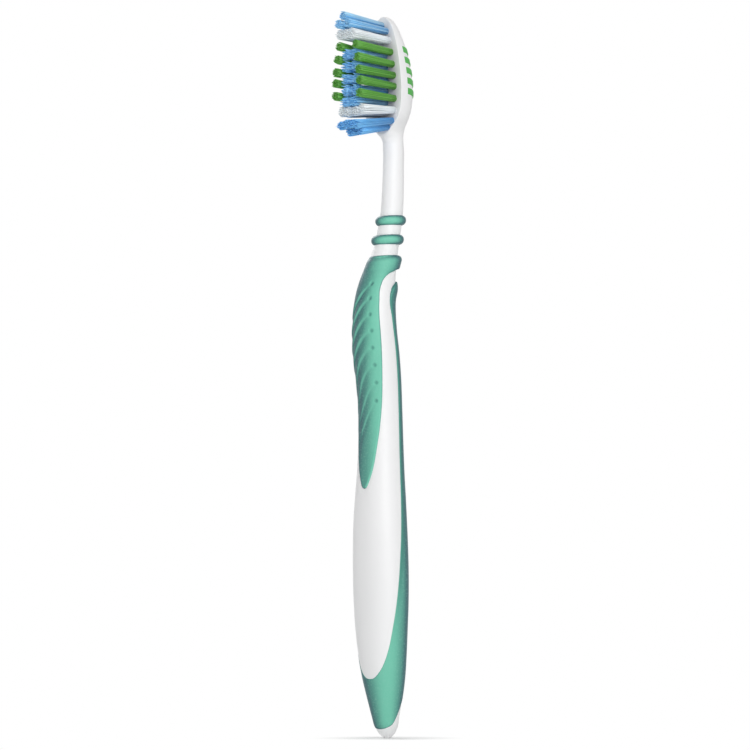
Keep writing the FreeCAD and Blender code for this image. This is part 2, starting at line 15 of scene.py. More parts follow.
import bmesh
import bpy
import numpy as np
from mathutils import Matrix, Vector


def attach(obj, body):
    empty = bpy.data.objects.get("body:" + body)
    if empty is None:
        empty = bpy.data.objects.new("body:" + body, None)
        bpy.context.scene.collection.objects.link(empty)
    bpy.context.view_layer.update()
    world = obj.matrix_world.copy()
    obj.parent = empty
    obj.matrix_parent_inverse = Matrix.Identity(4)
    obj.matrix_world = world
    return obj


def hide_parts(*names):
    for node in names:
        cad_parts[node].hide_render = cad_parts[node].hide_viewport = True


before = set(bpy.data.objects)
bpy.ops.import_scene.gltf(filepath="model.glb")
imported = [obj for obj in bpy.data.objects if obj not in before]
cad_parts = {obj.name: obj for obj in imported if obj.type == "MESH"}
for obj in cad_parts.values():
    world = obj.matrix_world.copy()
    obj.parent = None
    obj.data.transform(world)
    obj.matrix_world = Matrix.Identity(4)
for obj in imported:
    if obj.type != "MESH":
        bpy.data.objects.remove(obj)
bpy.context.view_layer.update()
scene = bpy.context.scene
MM = 0.001


# %% [markdown]
# ## The camera
#
# The photograph was taken with a long lens from a little below the head. The camera stands in
# front and to the right of the brush, so that the bristles point left. It could be placed by
# eye, but a lens and a shift worked out from two things seen in the picture, how many
# millimetres a pixel covers and where the foot of the brush stands, put the brush at once where
# the photograph has it.

# %% Camera
VIEW_AZIMUTH = math.radians(48)
VIEW_RISE = math.radians(-4)
VIEW_DISTANCE = 1.0
SENSOR_WIDTH = 36
CLIP_NEAR, CLIP_FAR = 0.01, 20
FRAME_PIXELS = 750
MM_PER_PIXEL = 0.2632
AXIS_PIXEL = 388.0
FOOT_PIXEL = 736.6

view_right = Vector((math.cos(VIEW_AZIMUTH), math.sin(VIEW_AZIMUTH), 0))
view_back = Vector((math.sin(VIEW_AZIMUTH) * math.cos(VIEW_RISE),
                    -math.cos(VIEW_AZIMUTH) * math.cos(VIEW_RISE),
                    math.sin(VIEW_RISE)))
target = view_right * (FRAME_PIXELS / 2 - AXIS_PIXEL) * MM_PER_PIXEL * MM
target.z = (FOOT_PIXEL - FRAME_PIXELS / 2) * MM_PER_PIXEL * MM
camera_data = bpy.data.cameras.new("portrait_camera")
camera_data.sensor_width = SENSOR_WIDTH
camera_data.lens = SENSOR_WIDTH * VIEW_DISTANCE / (FRAME_PIXELS * MM_PER_PIXEL * MM)
camera_data.clip_start = CLIP_NEAR
camera_data.clip_end = CLIP_FAR
camera = bpy.data.objects.new("portrait_camera", camera_data)
camera.location = target + view_back * VIEW_DISTANCE
camera.rotation_mode = "QUATERNION"
camera.rotation_quaternion = view_back.to_track_quat("Z", "Y")
scene.collection.objects.link(camera)
scene.camera = camera
scene.view_settings.view_transform = "Standard"
print("lens in mm:", round(camera_data.lens, 1))

# %% [markdown]
# ## Node trees as plain expressions
#
# Materials and Geometry Nodes are both graphs. They could be built link by link, but a graph is
# easier to read as a sum. `Wire` wraps one output socket, so that `1 - mask` or `spots * 0.2`
# adds the Math nodes by itself.

# %% Wires
class Wire:
    """An output socket that can be added, subtracted, multiplied and divided."""

    def __init__(self, tree, socket):
        self.tree = tree
        self.socket = socket

    def _sum(self, operation, first, second):
        return self.tree.node("ShaderNodeMath", {"operation": operation}, {0: first, 1: second})

    def __add__(self, other):
        return self._sum("ADD", self, other)

    def __radd__(self, other):
        return self._sum("ADD", other, self)

    def __sub__(self, other):
        return self._sum("SUBTRACT", self, other)

    def __rsub__(self, other):
        return self._sum("SUBTRACT", other, self)

    def __mul__(self, other):
        return self._sum("MULTIPLY", self, other)

    def __rmul__(self, other):
        return self._sum("MULTIPLY", other, self)

    def __truediv__(self, other):
        return self._sum("DIVIDE", self, other)

    def __rtruediv__(self, other):
        return self._sum("DIVIDE", other, self)

    def power(self, other):
        """This value, raised to a power."""
        return self._sum("POWER", self, other)

    def between(self, low, high):
        """0 below low, 1 above high and smooth between them."""
        return self.tree.node("ShaderNodeMapRange", {"interpolation_type": "SMOOTHSTEP"},
                              {"Value": self, "From Min": low, "From Max": high})


print("a wire can also do:", [name for name in vars(Wire) if not name.startswith("_")])

# %% [markdown]
# ## Trees and finishes
#
# `Tree` adds any node by its type, its settings and its inputs. `Finish` is a tree that holds
# one material: what is the same all over a surface is written straight on the Principled
# shader's sockets, and only what varies is fed by a wire. Colours and vectors never go through
# Math, because that would turn them into one number: they have `blend` and `vector_sum`.

# %% Trees
class Tree:
    """A node tree with one method that adds any node."""

    def __init__(self, tree):
        self.tree = tree

    def node(self, kind, settings=None, inputs=None, output=0):
        """Add a node, set it up, and give back one of its outputs."""
        item = self.tree.nodes.new(kind)
        for name, value in (settings or {}).items():
            setattr(item, name, value)
        for name, value in (inputs or {}).items():
            if isinstance(value, Wire):
                self.tree.links.new(value.socket, item.inputs[name])
            else:
                item.inputs[name].default_value = value
        return Wire(self, item.outputs[output])

    def vector_sum(self, operation, first, second):
        """Add, multiply or cross two vectors."""
        return self.node("ShaderNodeVectorMath", {"operation": operation}, {0: first, 1: second})

    def scaled(self, vector, factor):
        """A vector made longer or shorter."""
        return self.node("ShaderNodeVectorMath", {"operation": "SCALE"},
                         {0: vector, "Scale": factor})


print("a tree can do:", [name for name in vars(Tree) if not name.startswith("_")])

# %% Finishes
class Finish(Tree):
    """One material: a Principled shader with its constants, and the patterns that feed it."""

    def __init__(self, name, **constants):
        self.material = bpy.data.materials.new(name)
        self.material.use_nodes = True
        super().__init__(self.material.node_tree)
        self.shader = self.tree.nodes["Principled BSDF"]
        for label, value in constants.items():
            self.shader.inputs[label.replace("_", " ")].default_value = value

    def blend(self, mask, first, second):
        """A colour between two others."""
        return self.node("ShaderNodeMix", {"data_type": "RGBA"}, {0: mask, 6: first, 7: second}, 2)

    def noise(self, scale, detail=2.0, stretch=(1, 1, 1)):
        """Soft noise on object coordinates, which are metres here."""
        place = self.node("ShaderNodeTexCoord", output="Object")
        spread = self.vector_sum("MULTIPLY", place, stretch)
        return self.node("ShaderNodeTexNoise", {},
                         {"Vector": spread, "Scale": scale, "Detail": detail})

    def attribute(self, name):
        """A number that the mesh carries at each corner."""
        return self.node("ShaderNodeAttribute", {"attribute_name": name}, {}, "Fac")

    def feed(self, label, wire):
        """Let a wire drive one socket of the shader."""
        self.tree.links.new(wire.socket, self.shader.inputs[label])

    def bump(self, height, distance, strength=1.0):
        """Raise the surface by a pattern, with its distance in metres."""
        relief = {"Strength": strength, "Distance": distance, "Height": height}
        self.feed("Normal", self.node("ShaderNodeBump", {}, relief))


print("a finish can also do:", [name for name in vars(Finish) if not name.startswith("_")])

# %% [markdown]
# ## The form of the brush
#
# On the real brush the handle, the neck and the head are one moulding. It could be sculpted, or
# cut from a box, but a drawing gives such a form by cross sections, and so does this table: a
# height, how far the middle lies forward or back, the half width and the half depth. The handle
# and the head are fuller than an ellipse, and the slim neck is round.

# %% Cross sections
HANDLE_SECTIONS = (
    (0.0, -0.30, 0.80, 0.71), (0.8, -0.40, 1.76, 1.50), (2.5, -0.55, 2.88, 2.45),
    (5.7, -0.85, 3.70, 3.14), (8.8, -1.05, 4.38, 3.72), (12.0, -1.25, 5.07, 4.31),
    (15.2, -1.50, 5.70, 4.78), (21.5, -2.00, 6.66, 5.34), (27.8, -2.35, 7.33, 5.66),
    (34.0, -2.50, 7.78, 5.84), (42.0, -2.65, 7.98, 5.94), (50.0, -2.80, 7.82, 5.93),
    (55.9, -2.90, 7.52, 5.87), (62.7, -2.85, 7.04, 5.62), (69.0, -2.75, 6.53, 5.30),
    (75.0, -2.70, 6.18, 5.09), (82.0, -2.70, 5.92, 4.88), (87.9, -2.90, 5.89, 4.81),
    (94.0, -3.45, 6.05, 4.97), (100.7, -4.30, 6.26, 5.07), (107.0, -4.85, 6.02, 4.81),
    (113.0, -4.75, 5.60, 4.50), (118.2, -3.95, 5.09, 4.17), (122.5, -2.80, 4.26, 3.76),
)
NECK_SECTIONS = (
    (126.0, -1.56, 3.58, 3.58), (128.7, -0.70, 3.28, 3.28), (133.4, 0.43, 3.09, 3.09),
    (138.2, 1.33, 2.97, 2.97), (143.3, 1.72, 2.89, 2.89), (150.0, 1.95, 2.80, 2.80),
    (155.1, 1.95, 2.79, 2.79),
)
HEAD_SECTIONS = (
    (158.0, 1.54, 2.85, 2.93), (159.5, 0.50, 3.20, 4.10), (161.0, -0.60, 4.35, 5.20),
    (162.5, -1.20, 5.78, 5.82), (164.5, -1.40, 6.87, 6.16), (167.0, -1.40, 7.40, 6.40),
    (170.0, -1.40, 7.50, 6.50), (173.0, -1.40, 7.32, 6.34), (176.0, -1.40, 6.93, 6.01),
    (179.0, -1.40, 6.40, 5.45), (182.0, -1.40, 5.70, 4.71), (185.0, -1.40, 4.74, 3.67),
    (187.0, -1.40, 3.87, 2.86), (188.5, -1.40, 2.88, 2.18), (189.5, -1.40, 1.73, 1.50),
    (190.0, -1.40, 0.68, 0.85),
)
GRIP_FULLNESS = 2.3
NECK_FULLNESS = 2.0
HEAD_FULLNESS = 2.6
FULLNESS_PER_MM = 0.1
HEAD_FOOT = HEAD_SECTIONS[0][0]


def head_fullness(height):
    """The head grows fuller from its foot up."""
    return min(HEAD_FULLNESS, NECK_FULLNESS + FULLNESS_PER_MM * (height - HEAD_FOOT))


SECTIONS = np.array([row + (GRIP_FULLNESS,) for row in HANDLE_SECTIONS]
                    + [row + (NECK_FULLNESS,) for row in NECK_SECTIONS]
                    + [row + (head_fullness(row[0]),) for row in HEAD_SECTIONS])
print("stations:", len(SECTIONS), "from", SECTIONS[0, 0], "to", SECTIONS[-1, 0], "mm")

# %% [markdown]
# ## Reading the form
#
# Straight lines between the stations would show as rings of light on the gloss. A smooth curve
# through them gives the section at any height, and `surface` turns a height and an angle into a
# point on the skin. Every piece that follows the brush asks this one function, so that the
# pieces fit each other.

# %% Reading the form
def smooth_curve(places, values, at):
    """A smooth curve through points, read at any place along them."""
    places = np.asarray(places, float)
    values = np.asarray(values, float)
    slopes = np.gradient(values, places)
    at = np.clip(at, places[0], places[-1])
    index = np.clip(np.searchsorted(places, at) - 1, 0, len(places) - 2)
    span = places[index + 1] - places[index]
    u = (at - places[index]) / span
    from_low = (2 * u ** 3 - 3 * u ** 2 + 1) * values[index]
    from_high = (3 * u ** 2 - 2 * u ** 3) * values[index + 1]
    leaving = (u ** 3 - 2 * u ** 2 + u) * span * slopes[index]
    arriving = (u ** 3 - u ** 2) * span * slopes[index + 1]
    return from_low + leaving + from_high + arriving


def curve_of(pairs, at):
    """A smooth curve through pairs of a place and a value."""
    return smooth_curve([place for place, _ in pairs], [value for _, value in pairs], at)


def section(height):
    """Middle, half width, half depth and fullness at a height or at many heights."""
    return [smooth_curve(SECTIONS[:, 0], SECTIONS[:, column], height) for column in (1, 2, 3, 4)]


def around(turn, fullness):
    """Sideways and forward shares of a full section, for an angle from the front."""
    sine, cosine = np.sin(turn), np.cos(turn)
    reach = (np.abs(sine) ** fullness + np.abs(cosine) ** fullness) ** (-1 / fullness)
    return reach * sine, reach * cosine


def surface(height, turn, proud):
    """Points on the form, grown by a distance, for angles that start at the front."""
    middle, half_width, half_depth, fullness = section(height)
    across, forward = around(turn, fullness)
    return np.stack([(half_width + proud) * across, middle - (half_depth + proud) * forward,
                     height + 0 * across], axis=-1)


print("neck radius at 150 mm:", round(float(section(150.0)[1]), 2))

# %% Soft steps
def eased(share):
    """0 to 1 with a soft start and end."""
    share = np.clip(share, 0, 1)
    return share * share * (3 - 2 * share)


def smooth_max(first, second, width):
    """The larger of two numbers, with a rounded corner where they meet."""
    share = np.clip(0.5 + 0.5 * (first - second) / width, 0, 1)
    return second + (first - second) * share + width * share * (1 - share)


def row_heights(stretches, top):
    """Heights for the rows of a grid, from stretches of low, high and step, and its top."""
    rows = [height for low, high, step in stretches
            for height in np.arange(low, high - step / 2, step)]
    return np.array(rows + [top])


print("eased at a quarter:", float(eased(0.25)), "rows in an example:",
      len(row_heights([(0, 1, 0.25)], 1.0)))

# %% [markdown]
# ## From points to pieces
#
# Every piece here is a closed mesh in the brush's own frame, with its place in its points and
# its object at the origin. It rides on the one rigid body and stands for the plain solids that
# it replaces.

# %% Pieces
WELD = 0.000001


def place_piece(name, mesh, replaced):
    """Put a finished mesh on the rigid body, in place of the plain solids."""
    piece = bpy.data.objects.new(name, mesh)
    scene.collection.objects.link(piece)
    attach(piece, "root")
    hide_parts(*replaced)


def make_piece(name, points, faces, finish, replaced, values=None):
    """A closed, smooth-shaded mesh from points in millimetres."""
    mesh = bpy.data.meshes.new(name)
    mesh.from_pydata((np.asarray(points) * MM).tolist(), [], faces)
    for label, numbers in (values or {}).items():
        held = mesh.attributes.new(label, "FLOAT", "POINT")
        held.data.foreach_set("value", np.asarray(numbers, np.float32))
    work = bmesh.new()
    work.from_mesh(mesh)
    bmesh.ops.remove_doubles(work, verts=work.verts, dist=WELD)
    bmesh.ops.recalc_face_normals(work, faces=work.faces)
    loose = sum(1 for edge in work.edges if not edge.is_manifold)
    work.to_mesh(mesh)
    work.free()
    mesh.polygons.foreach_set("use_smooth", [True] * len(mesh.polygons))
    mesh.materials.append(finish.material)
    place_piece(name, mesh, replaced)
    low, high = np.round(np.min(points, axis=0), 1), np.round(np.max(points, axis=0), 1)
    print(name, "faces", len(mesh.polygons), "open edges", loose, "from", low, "to", high)


def grid_faces(rows, columns, closed):
    """Quads between the rows of a grid of points, joined round if closed."""
    last = columns if closed else columns - 1
    return [(row * columns + column, row * columns + (column + 1) % columns,
             (row + 1) * columns + (column + 1) % columns, (row + 1) * columns + column)
            for row in range(rows - 1) for column in range(last)]


print("faces of a closed grid of 3 by 4:", len(grid_faces(3, 4, True)))

# %% [markdown]
# ## White plastic
#
# The body is moulded polypropylene: bright, a little milky, with a soft gloss and the very fine
# orange peel of a moulded surface. Deep subsurface light would hide the form, so a plain shader
# with a slight drift of colour is used. Between the tufts hardly any light comes back, and a
# number on the mesh darkens the face there.

# %% White plastic
BRIGHT_WHITE, DEEPER_WHITE = (0.94, 0.94, 0.945, 1), (0.89, 0.895, 0.90, 1)
WHITE_IN_SHADE = (0.50, 0.49, 0.52, 1)
SHADE_AMOUNT = 0.68

white_plastic = Finish("white_plastic", Roughness=0.4, IOR=1.46)
milky = white_plastic.blend(white_plastic.noise(40, 2), DEEPER_WHITE, BRIGHT_WHITE)
between_tufts = white_plastic.attribute("bristle_shade") * SHADE_AMOUNT
white_plastic.feed("Base Color", white_plastic.blend(between_tufts, milky, WHITE_IN_SHADE))
white_plastic.feed("Roughness", 0.38 + 0.08 * white_plastic.noise(700, 2))
white_plastic.bump(white_plastic.noise(1500, 1), 0.00001, 0.4)
print("nodes in white plastic:", len(white_plastic.tree.nodes))

# %% [markdown]
# ## The outline of the thumb pad
#
# The real body has a recess for the soft pad, so the pad's outline comes first. At each height
# it says how deep into the side of the brush the pad reaches: -1 is the very front of the
# section, 0 its widest place and 1 its very back, where both edges meet.

# %% Outline of the pad
PAD_EDGE = ((65, -1.00), (67.1, -0.98), (70.8, -0.93), (75.25, -0.87), (81.35, -0.78),
            (86.45, -0.71), (93.15, -0.63), (99.95, -0.56), (105.05, -0.54), (109.95, -0.57),
            (113.75, -0.59), (118.15, -0.58), (119.95, -0.46), (121.5, -0.10), (122.6, 0.55),
            (123.1, 1.00))
PAD_FOOT, PAD_CLOSES = PAD_EDGE[0][0], PAD_EDGE[-1][0]


def edge_turn(deep):
    """The angle from the front at which the form reaches a share of its half depth."""
    deep = np.clip(deep, -1, 1)
    return np.arctan2((1 - np.abs(deep) ** GRIP_FULLNESS) ** (1 / GRIP_FULLNESS), -deep)


widest = max(float(edge_turn(curve_of(PAD_EDGE, height))) for height in range(70, 118))
print("the pad reaches", round(math.degrees(widest)), "degrees round from the front")

# %% [markdown]
# ## The moulded body
#
# A real body comes out of one mould, so here it is one skin as well: rings of points from the
# tail to the toe, closer together where the form turns fast. Joining a handle, a neck and a head
# would leave seams on the gloss. The skin sinks inside the pad's outline, so that no flute of
# the pad can reach down to white plastic.

# %% Body skin
BODY_STEPS = ((0, 3, 0.25), (3, 12, 0.6), (12, 120, 1.2), (120, 158, 0.8), (158, 187, 0.4),
              (187, 190, 0.15))
BODY_TOP = 190.0
BODY_COLUMNS = 96
ALL_ROUND = 4.0
RECESS_LOW, RECESS_TOP = PAD_FOOT + 0.6, 125.5
RECESS_DEPTH, RECESS_MARGIN, RECESS_RAMP = 0.5, 0.35, 0.5

body_rows = row_heights(BODY_STEPS, BODY_TOP)
turns = np.linspace(0, 2 * math.pi, BODY_COLUMNS, endpoint=False)
height_grid, turn_grid = np.meshgrid(body_rows, turns, indexing="ij")
from_front = np.abs((turn_grid + math.pi) % (2 * math.pi) - math.pi)
pad_reach = edge_turn(curve_of(PAD_EDGE, height_grid))
pad_reach = np.where(height_grid > PAD_CLOSES, ALL_ROUND, pad_reach)
inside = (pad_reach - from_front) * section(height_grid)[1]
inside = np.where((height_grid > RECESS_LOW) & (height_grid < RECESS_TOP), inside, 0)
sunk = np.clip((inside - RECESS_MARGIN) / RECESS_RAMP, 0, 1)
body_points = surface(height_grid, turn_grid, -RECESS_DEPTH * sunk)
print("rings:", len(body_rows), "points in the recess:", int((sunk > 0).sum()))

# %% [markdown]
# ## The face of the head
#
# The bristles stand on a flat face. Cutting the skin with a plane would leave a sharp rim, so on
# the head every point in front of the face moves back to it, with a small rounding. The holes
# for the tufts stay hidden under the bristles and are left out. The shade between the tufts is
# strongest in the middle of the face and fades towards its rim.

# %% Face of the head
FACE = -2.0
FACE_STARTS = 157
FACE_ROUND = 0.7
SHADE_FOOT, SHADE_TOE, SHADE_RUN = 159.5, 189.0, 2.6
NEAR_FACE = 0.3

on_head = height_grid > FACE_STARTS
flattened = smooth_max(body_points[..., 1], FACE, FACE_ROUND)
body_points[..., 1] = np.where(on_head, flattened, body_points[..., 1])
middle, half_width, half_depth, fullness = section(height_grid)
forward = np.clip((middle - FACE) / half_depth, 0, 0.999)
face_rim = half_width * (1 - forward ** fullness) ** (1 / fullness)
from_ends = np.minimum(SHADE_TOE - height_grid, height_grid - SHADE_FOOT)
from_edge = np.minimum(face_rim - np.abs(body_points[..., 0]), from_ends)
on_face = on_head & (body_points[..., 1] < FACE + NEAR_FACE)
tuft_shade = np.where(on_face, np.clip(from_edge / SHADE_RUN, 0, 1), 0)
print("points on the face:", int(on_face.sum()), "half width of the face in mm:",
      round(float(face_rim[on_face].max()), 1))

# %% Body piece
body_points = body_points.reshape(-1, 3)
tail_middle = body_points[:BODY_COLUMNS].mean(axis=0)
toe_middle = body_points[-BODY_COLUMNS:].mean(axis=0)
tail_end, toe_end = len(body_points), len(body_points) + 1
last_ring = len(body_points) - BODY_COLUMNS
beside = [(column, (column + 1) % BODY_COLUMNS) for column in range(BODY_COLUMNS)]
body_faces = grid_faces(len(body_rows), BODY_COLUMNS, True)
body_faces += [(right, left, tail_end) for left, right in beside]
body_faces += [(last_ring + left, last_ring + right, toe_end) for left, right in beside]
body_points = np.vstack([body_points, tail_middle, toe_middle])
make_piece("moulded_body", body_points, body_faces, white_plastic,
           ["handle_body"], {"bristle_shade": np.append(tuft_shade.reshape(-1), [0, 0])})

# %% [markdown]
# ## Soft teal grip
#
# The grip is a thermoplastic elastomer with a pearly pigment: satin, with a fine grain that breaks
# up the highlights. One flat colour with some gloss would look like plain plastic, so Layer Weight
# paints a sheen and a shade into the colour, lighter where the surface faces us and darker towards
# its edges, and the grain feeds both colour and relief. Painted shade darkens the flutes and pits
# of the pad and the rim of the strip, where it turns away from the light, so the meshes carry both
# as numbers for the colour.

# %% Soft teal grip
TEAL_FACING, TEAL_EDGE_SHADE = (0.178, 0.585, 0.435, 1), (0.022, 0.12, 0.14, 1)
TEAL_GLINT, TEAL_IN_SHADE = (0.27, 0.62, 0.50, 1), (0.03, 0.17, 0.15, 1)
GROOVE_SHADE, PIT_SHADE = 0.16, 0.5

soft_teal = Finish("soft_teal", Roughness=0.45, Specular_IOR_Level=0.35)
# Painted sheen and shade: lighter where the surface faces the camera, darker towards its edges.
facing = soft_teal.node("ShaderNodeLayerWeight", {}, {"Blend": 0.5}, "Facing")
grain = soft_teal.noise(2400, 3)
pearl_sheen_and_edge_shade = soft_teal.blend(facing.between(0.02, 0.60), TEAL_FACING, TEAL_EDGE_SHADE)
pearl_sheen_and_edge_shade = soft_teal.blend(grain.between(0.45, 0.75) * 0.3, pearl_sheen_and_edge_shade, TEAL_GLINT)
# Painted shade in the flutes and pits of the pad and along the rim of the strip.
teal_shade = (soft_teal.attribute("groove") * GROOVE_SHADE
              + soft_teal.attribute("pit") * PIT_SHADE)
soft_teal.feed("Base Color", soft_teal.blend(teal_shade, pearl_sheen_and_edge_shade, TEAL_IN_SHADE))
soft_teal.feed("Roughness", 0.36 + 0.22 * grain)
soft_teal.bump(grain, 0.00004, 0.5)
print("nodes in soft teal:", len(soft_teal.tree.nodes))

# %% [markdown]
# ## Tools for a soft skin
#
# On the real brush the grip is a second shot, moulded into recesses of the first. It could be
# painted on the body, but its raised and rounded rim is what catches the light. So each skin is
# a grid that follows the form, from edge to edge at every height, and a second, lower grid
# closes it on the inside. The rim is rounded by distance: a point close to the edge of the skin
# lies lower than one in the middle of it.

# %% Skin tools
RIM_BATCH = 64


def crowded(count):
    """Numbers from -1 to 1 that crowd towards both ends."""
    even = np.linspace(-1, 1, count)
    return 1.5 * even - 0.5 * even ** 3


def nearest(points, rim):
    """How far each point is from the nearest point of a rim."""
    flat = points.reshape(-1, 3)
    far = np.full(len(flat), np.inf)
    for start in range(0, len(rim), RIM_BATCH):
        gaps = flat[:, None, :] - rim[None, start:start + RIM_BATCH, :]
        far = np.minimum(far, np.sqrt((gaps ** 2).sum(axis=2)).min(axis=1))
    return far.reshape(points.shape[:-1])


def rim_points(points, full, ends):
    """The points along the free edges of a grid, whose full rows go all the way round."""
    rim = [points[row, column] for row in range(len(points)) if not full[row]
           for column in (0, -1)]
    for row in ends:
        rim += list(points[row])
    return np.array(rim)


def rolled(distance, proud, radius, sink):
    """Height of a skin with a rounded rim that dips below the surface round it."""
    inward = np.clip(distance / radius, 0, 1)
    return -sink + (proud + sink) * np.sqrt(1 - (1 - inward) ** 2)


print("a rim of 0.6 mm, halfway in:", round(float(rolled(0.3, 0.27, 0.6, 0.12)), 2), "mm proud")

# %% Skin faces
def skin_faces(rows, columns, full):
    """Faces of an outer grid, an inner grid and the walls between them."""
    size = rows * columns
    outer = grid_faces(rows, columns, False)
    faces = outer + [tuple(size + index for index in reversed(face)) for face in outer]
    for row in range(rows - 1):
        if full[row] and full[row + 1]:
            continue
        for column in (0, columns - 1):
            low, high = row * columns + column, (row + 1) * columns + column
            faces.append((low, high, size + high, size + low))
    for row in (0, rows - 1):
        for column in range(columns - 1):
            low = row * columns + column
            faces.append((low, low + 1, size + low + 1, size + low))
    return faces


print("faces of a skin of 3 by 4:", len(skin_faces(3, 4, [False] * 3)))

# %% [markdown]
# ## The grid of the thumb pad
#
# The pad covers the front of the grip. It narrows to a point below, and above it closes round
# the foot of the neck as a collar. Its grid has a row at each height, which runs from one edge
# of the pad to the other, and all the way round once the pad has closed.

# %% Grid of the pad
PAD_STEPS = ((65.0, 67.4, 0.2), (67.4, 80, 0.9), (80, 120, 0.28), (120, 126.0, 0.14),
             (126.0, 126.6, 0.06))
COLLAR_TOP = 126.6
PAD_COLUMNS = 84
CLOSED = 1e-6

pad_rows = row_heights(PAD_STEPS, COLLAR_TOP)
pad_turn = edge_turn(curve_of(PAD_EDGE, pad_rows))
pad_turn = np.where(pad_rows >= PAD_CLOSES, math.pi, pad_turn)
pad_full = pad_turn > math.pi - CLOSED
turn_grid = pad_turn[:, None] * crowded(PAD_COLUMNS)[None, :]
height_grid = pad_rows[:, None] + 0 * turn_grid
flush = surface(height_grid, turn_grid, 0.0)
from_rim = nearest(flush, rim_points(flush, pad_full, [-1]))
print("rows:", len(pad_rows), "of them closed:", int(pad_full.sum()),
      "furthest from the rim in mm:", round(float(from_rim.max()), 1))

# %% [markdown]
# ## Flutes and pits
#
# Eight flutes run across the pad like overlapping scales: each is steep under its crest and
# rises gently to the next. Bump in the material would vanish at the outline, where the thumb
# side of the brush shows them best, so they are real relief. A formula finds how far below its
# crest each point lies. The crests bend, and stand steeper in the lower part of the pad. A small
# round pit marks the end of every crest.

# %% Flutes
PITS = ((2.20, 118.7), (2.51, 114.8), (2.95, 110.5), (3.48, 106.2), (3.59, 101.7),
        (3.72, 97.2), (3.64, 92.6), (3.22, 87.9))
CREST_SLOPE, CREST_BEND = 1, 0.1
STEEPER_BY, STEEPER_BELOW, STEEPER_RUN = 0.85, 100, 14
FLUTE_FALL = 0.14
LOWEST_FLUTE = 4.5
SHALLOWEST, SHALLOW_AT, DEEPER_RUN = 0.35, 84, 22
PIT_SIDE, SIDE_RUN = 0.2, 3.2
FLAT_RIM = 1.4


def flute_phase(across, height):
    """A number that stays the same along each crest."""
    slope = CREST_SLOPE + STEEPER_BY * eased((STEEPER_BELOW - height) / STEEPER_RUN)
    return height - slope * across + CREST_BEND * across ** 2


def flute_shape(points):
    """0 on a crest, 1 at the foot of a flute, from each point's place across the pad."""
    across, height = points[..., 0], points[..., 2]
    crests = np.array([flute_phase(side, high) for side, high in PITS])
    phase = flute_phase(across, height)
    index = (crests[:, None, None] > phase[None]).sum(axis=0)
    gaps = np.append(crests[:-1] - crests[1:], LOWEST_FLUTE)
    place = np.clip(index - 1, 0, len(crests) - 1)
    below = np.clip((crests[place] - phase) / gaps[place], 0, 1)
    shape = eased(below / FLUTE_FALL) * (1 - eased((below - FLUTE_FALL) / (1 - FLUTE_FALL)))
    shape *= SHALLOWEST + (1 - SHALLOWEST) * eased((height - SHALLOW_AT) / DEEPER_RUN)
    side_at = np.interp(height, [high for _, high in reversed(PITS)],
                        [side for side, _ in reversed(PITS)])
    side_fade = np.clip((side_at + PIT_SIDE - across) / SIDE_RUN, 0, 1)
    return np.where(index > 0, shape, 0) * side_fade


flutes = flute_shape(flush) * np.clip(from_rim / FLAT_RIM, 0, 1)
print("points in a flute:", int((flutes > 0.1).sum()), "deepest share:",
      round(float(flutes.max()), 2))

# %% Pits
PIT_RADIUS = 0.70

pits = np.zeros(from_rim.shape)
for side, high in PITS:
    away = np.sqrt((flush[..., 0] - side) ** 2 + (flush[..., 2] - high) ** 2) / PIT_RADIUS
    in_front = flush[..., 1] < section(high)[0]
    pits = np.maximum(pits, np.where(in_front, np.clip(1 - away ** 2, 0, 1) ** 2, 0))
print("points in a pit:", int((pits > 0).sum()))

# %% [markdown]
# ## The collar and the pad's piece
#
# At its top the pad becomes a round collar, thicker than the neck, with a rounded upper edge. It
# could be a ring of its own, but on the real brush it grows out of the pad. So the larger of two
# radii is taken at each point, the pad's and the collar's, with a soft corner where they cross,
# and the collar's radius shrinks downwards until the pad hides it. The top leans a little, like
# the rings above it.

# %% Collar
PAD_PROUD = 0.27
RIM_RADIUS = 0.6
RIM_SINK = 0.12
SKIN_UNDER = -0.7
FLUTE_DEPTH, PIT_DEPTH = 0.30, 0.28
COLLAR_LOW, COLLAR_RUN, COLLAR_FADE = 118.5, 5.0, 1.8
COLLAR_RADIUS, COLLAR_BACK, COLLAR_ROUND = 4.6, 0.6, 1.7
COLLAR_BLEND, LEAST_BLEND = 0.5, 0.01
LEAN = math.tan(math.radians(3.5))
LEAN_LOW, LEAN_RUN = 119.5, 5.5

pad_proud = rolled(from_rim, PAD_PROUD, RIM_RADIUS, RIM_SINK)
pad_outer = surface(height_grid, turn_grid, pad_proud - FLUTE_DEPTH * flutes - PIT_DEPTH * pits)
middle = section(height_grid)[0]
offset = pad_outer[..., :2] - np.stack([0 * middle, middle], axis=-1)
radius = np.sqrt((offset ** 2).sum(axis=-1))
pointing = offset / radius[..., None]
from_top = np.clip((COLLAR_TOP - height_grid) / COLLAR_ROUND, 0, 1)
collar = COLLAR_RADIUS - COLLAR_ROUND * (1 - np.sqrt(1 - (1 - from_top) ** 2))
collar -= COLLAR_FADE * (1 - eased((height_grid - COLLAR_LOW) / COLLAR_RUN))
backward = pointing[..., 1] * COLLAR_BACK
collar_radius = backward + np.sqrt(collar ** 2 - COLLAR_BACK ** 2 + backward ** 2)
blended = smooth_max(radius, collar_radius, COLLAR_BLEND * from_top + LEAST_BLEND)
radius = np.where(height_grid > COLLAR_LOW, blended, radius)
pad_outer[..., 0] = pointing[..., 0] * radius
pad_outer[..., 1] = middle + pointing[..., 1] * radius
pad_inner = surface(height_grid, turn_grid, SKIN_UNDER)
for points in (pad_outer, pad_inner):
    points[..., 2] += (points[..., 1] - middle) * LEAN * eased((height_grid - LEAN_LOW) / LEAN_RUN)
print("collar width in mm:", round(float(np.ptp(pad_outer[height_grid > COLLAR_LOW, 0])), 1))

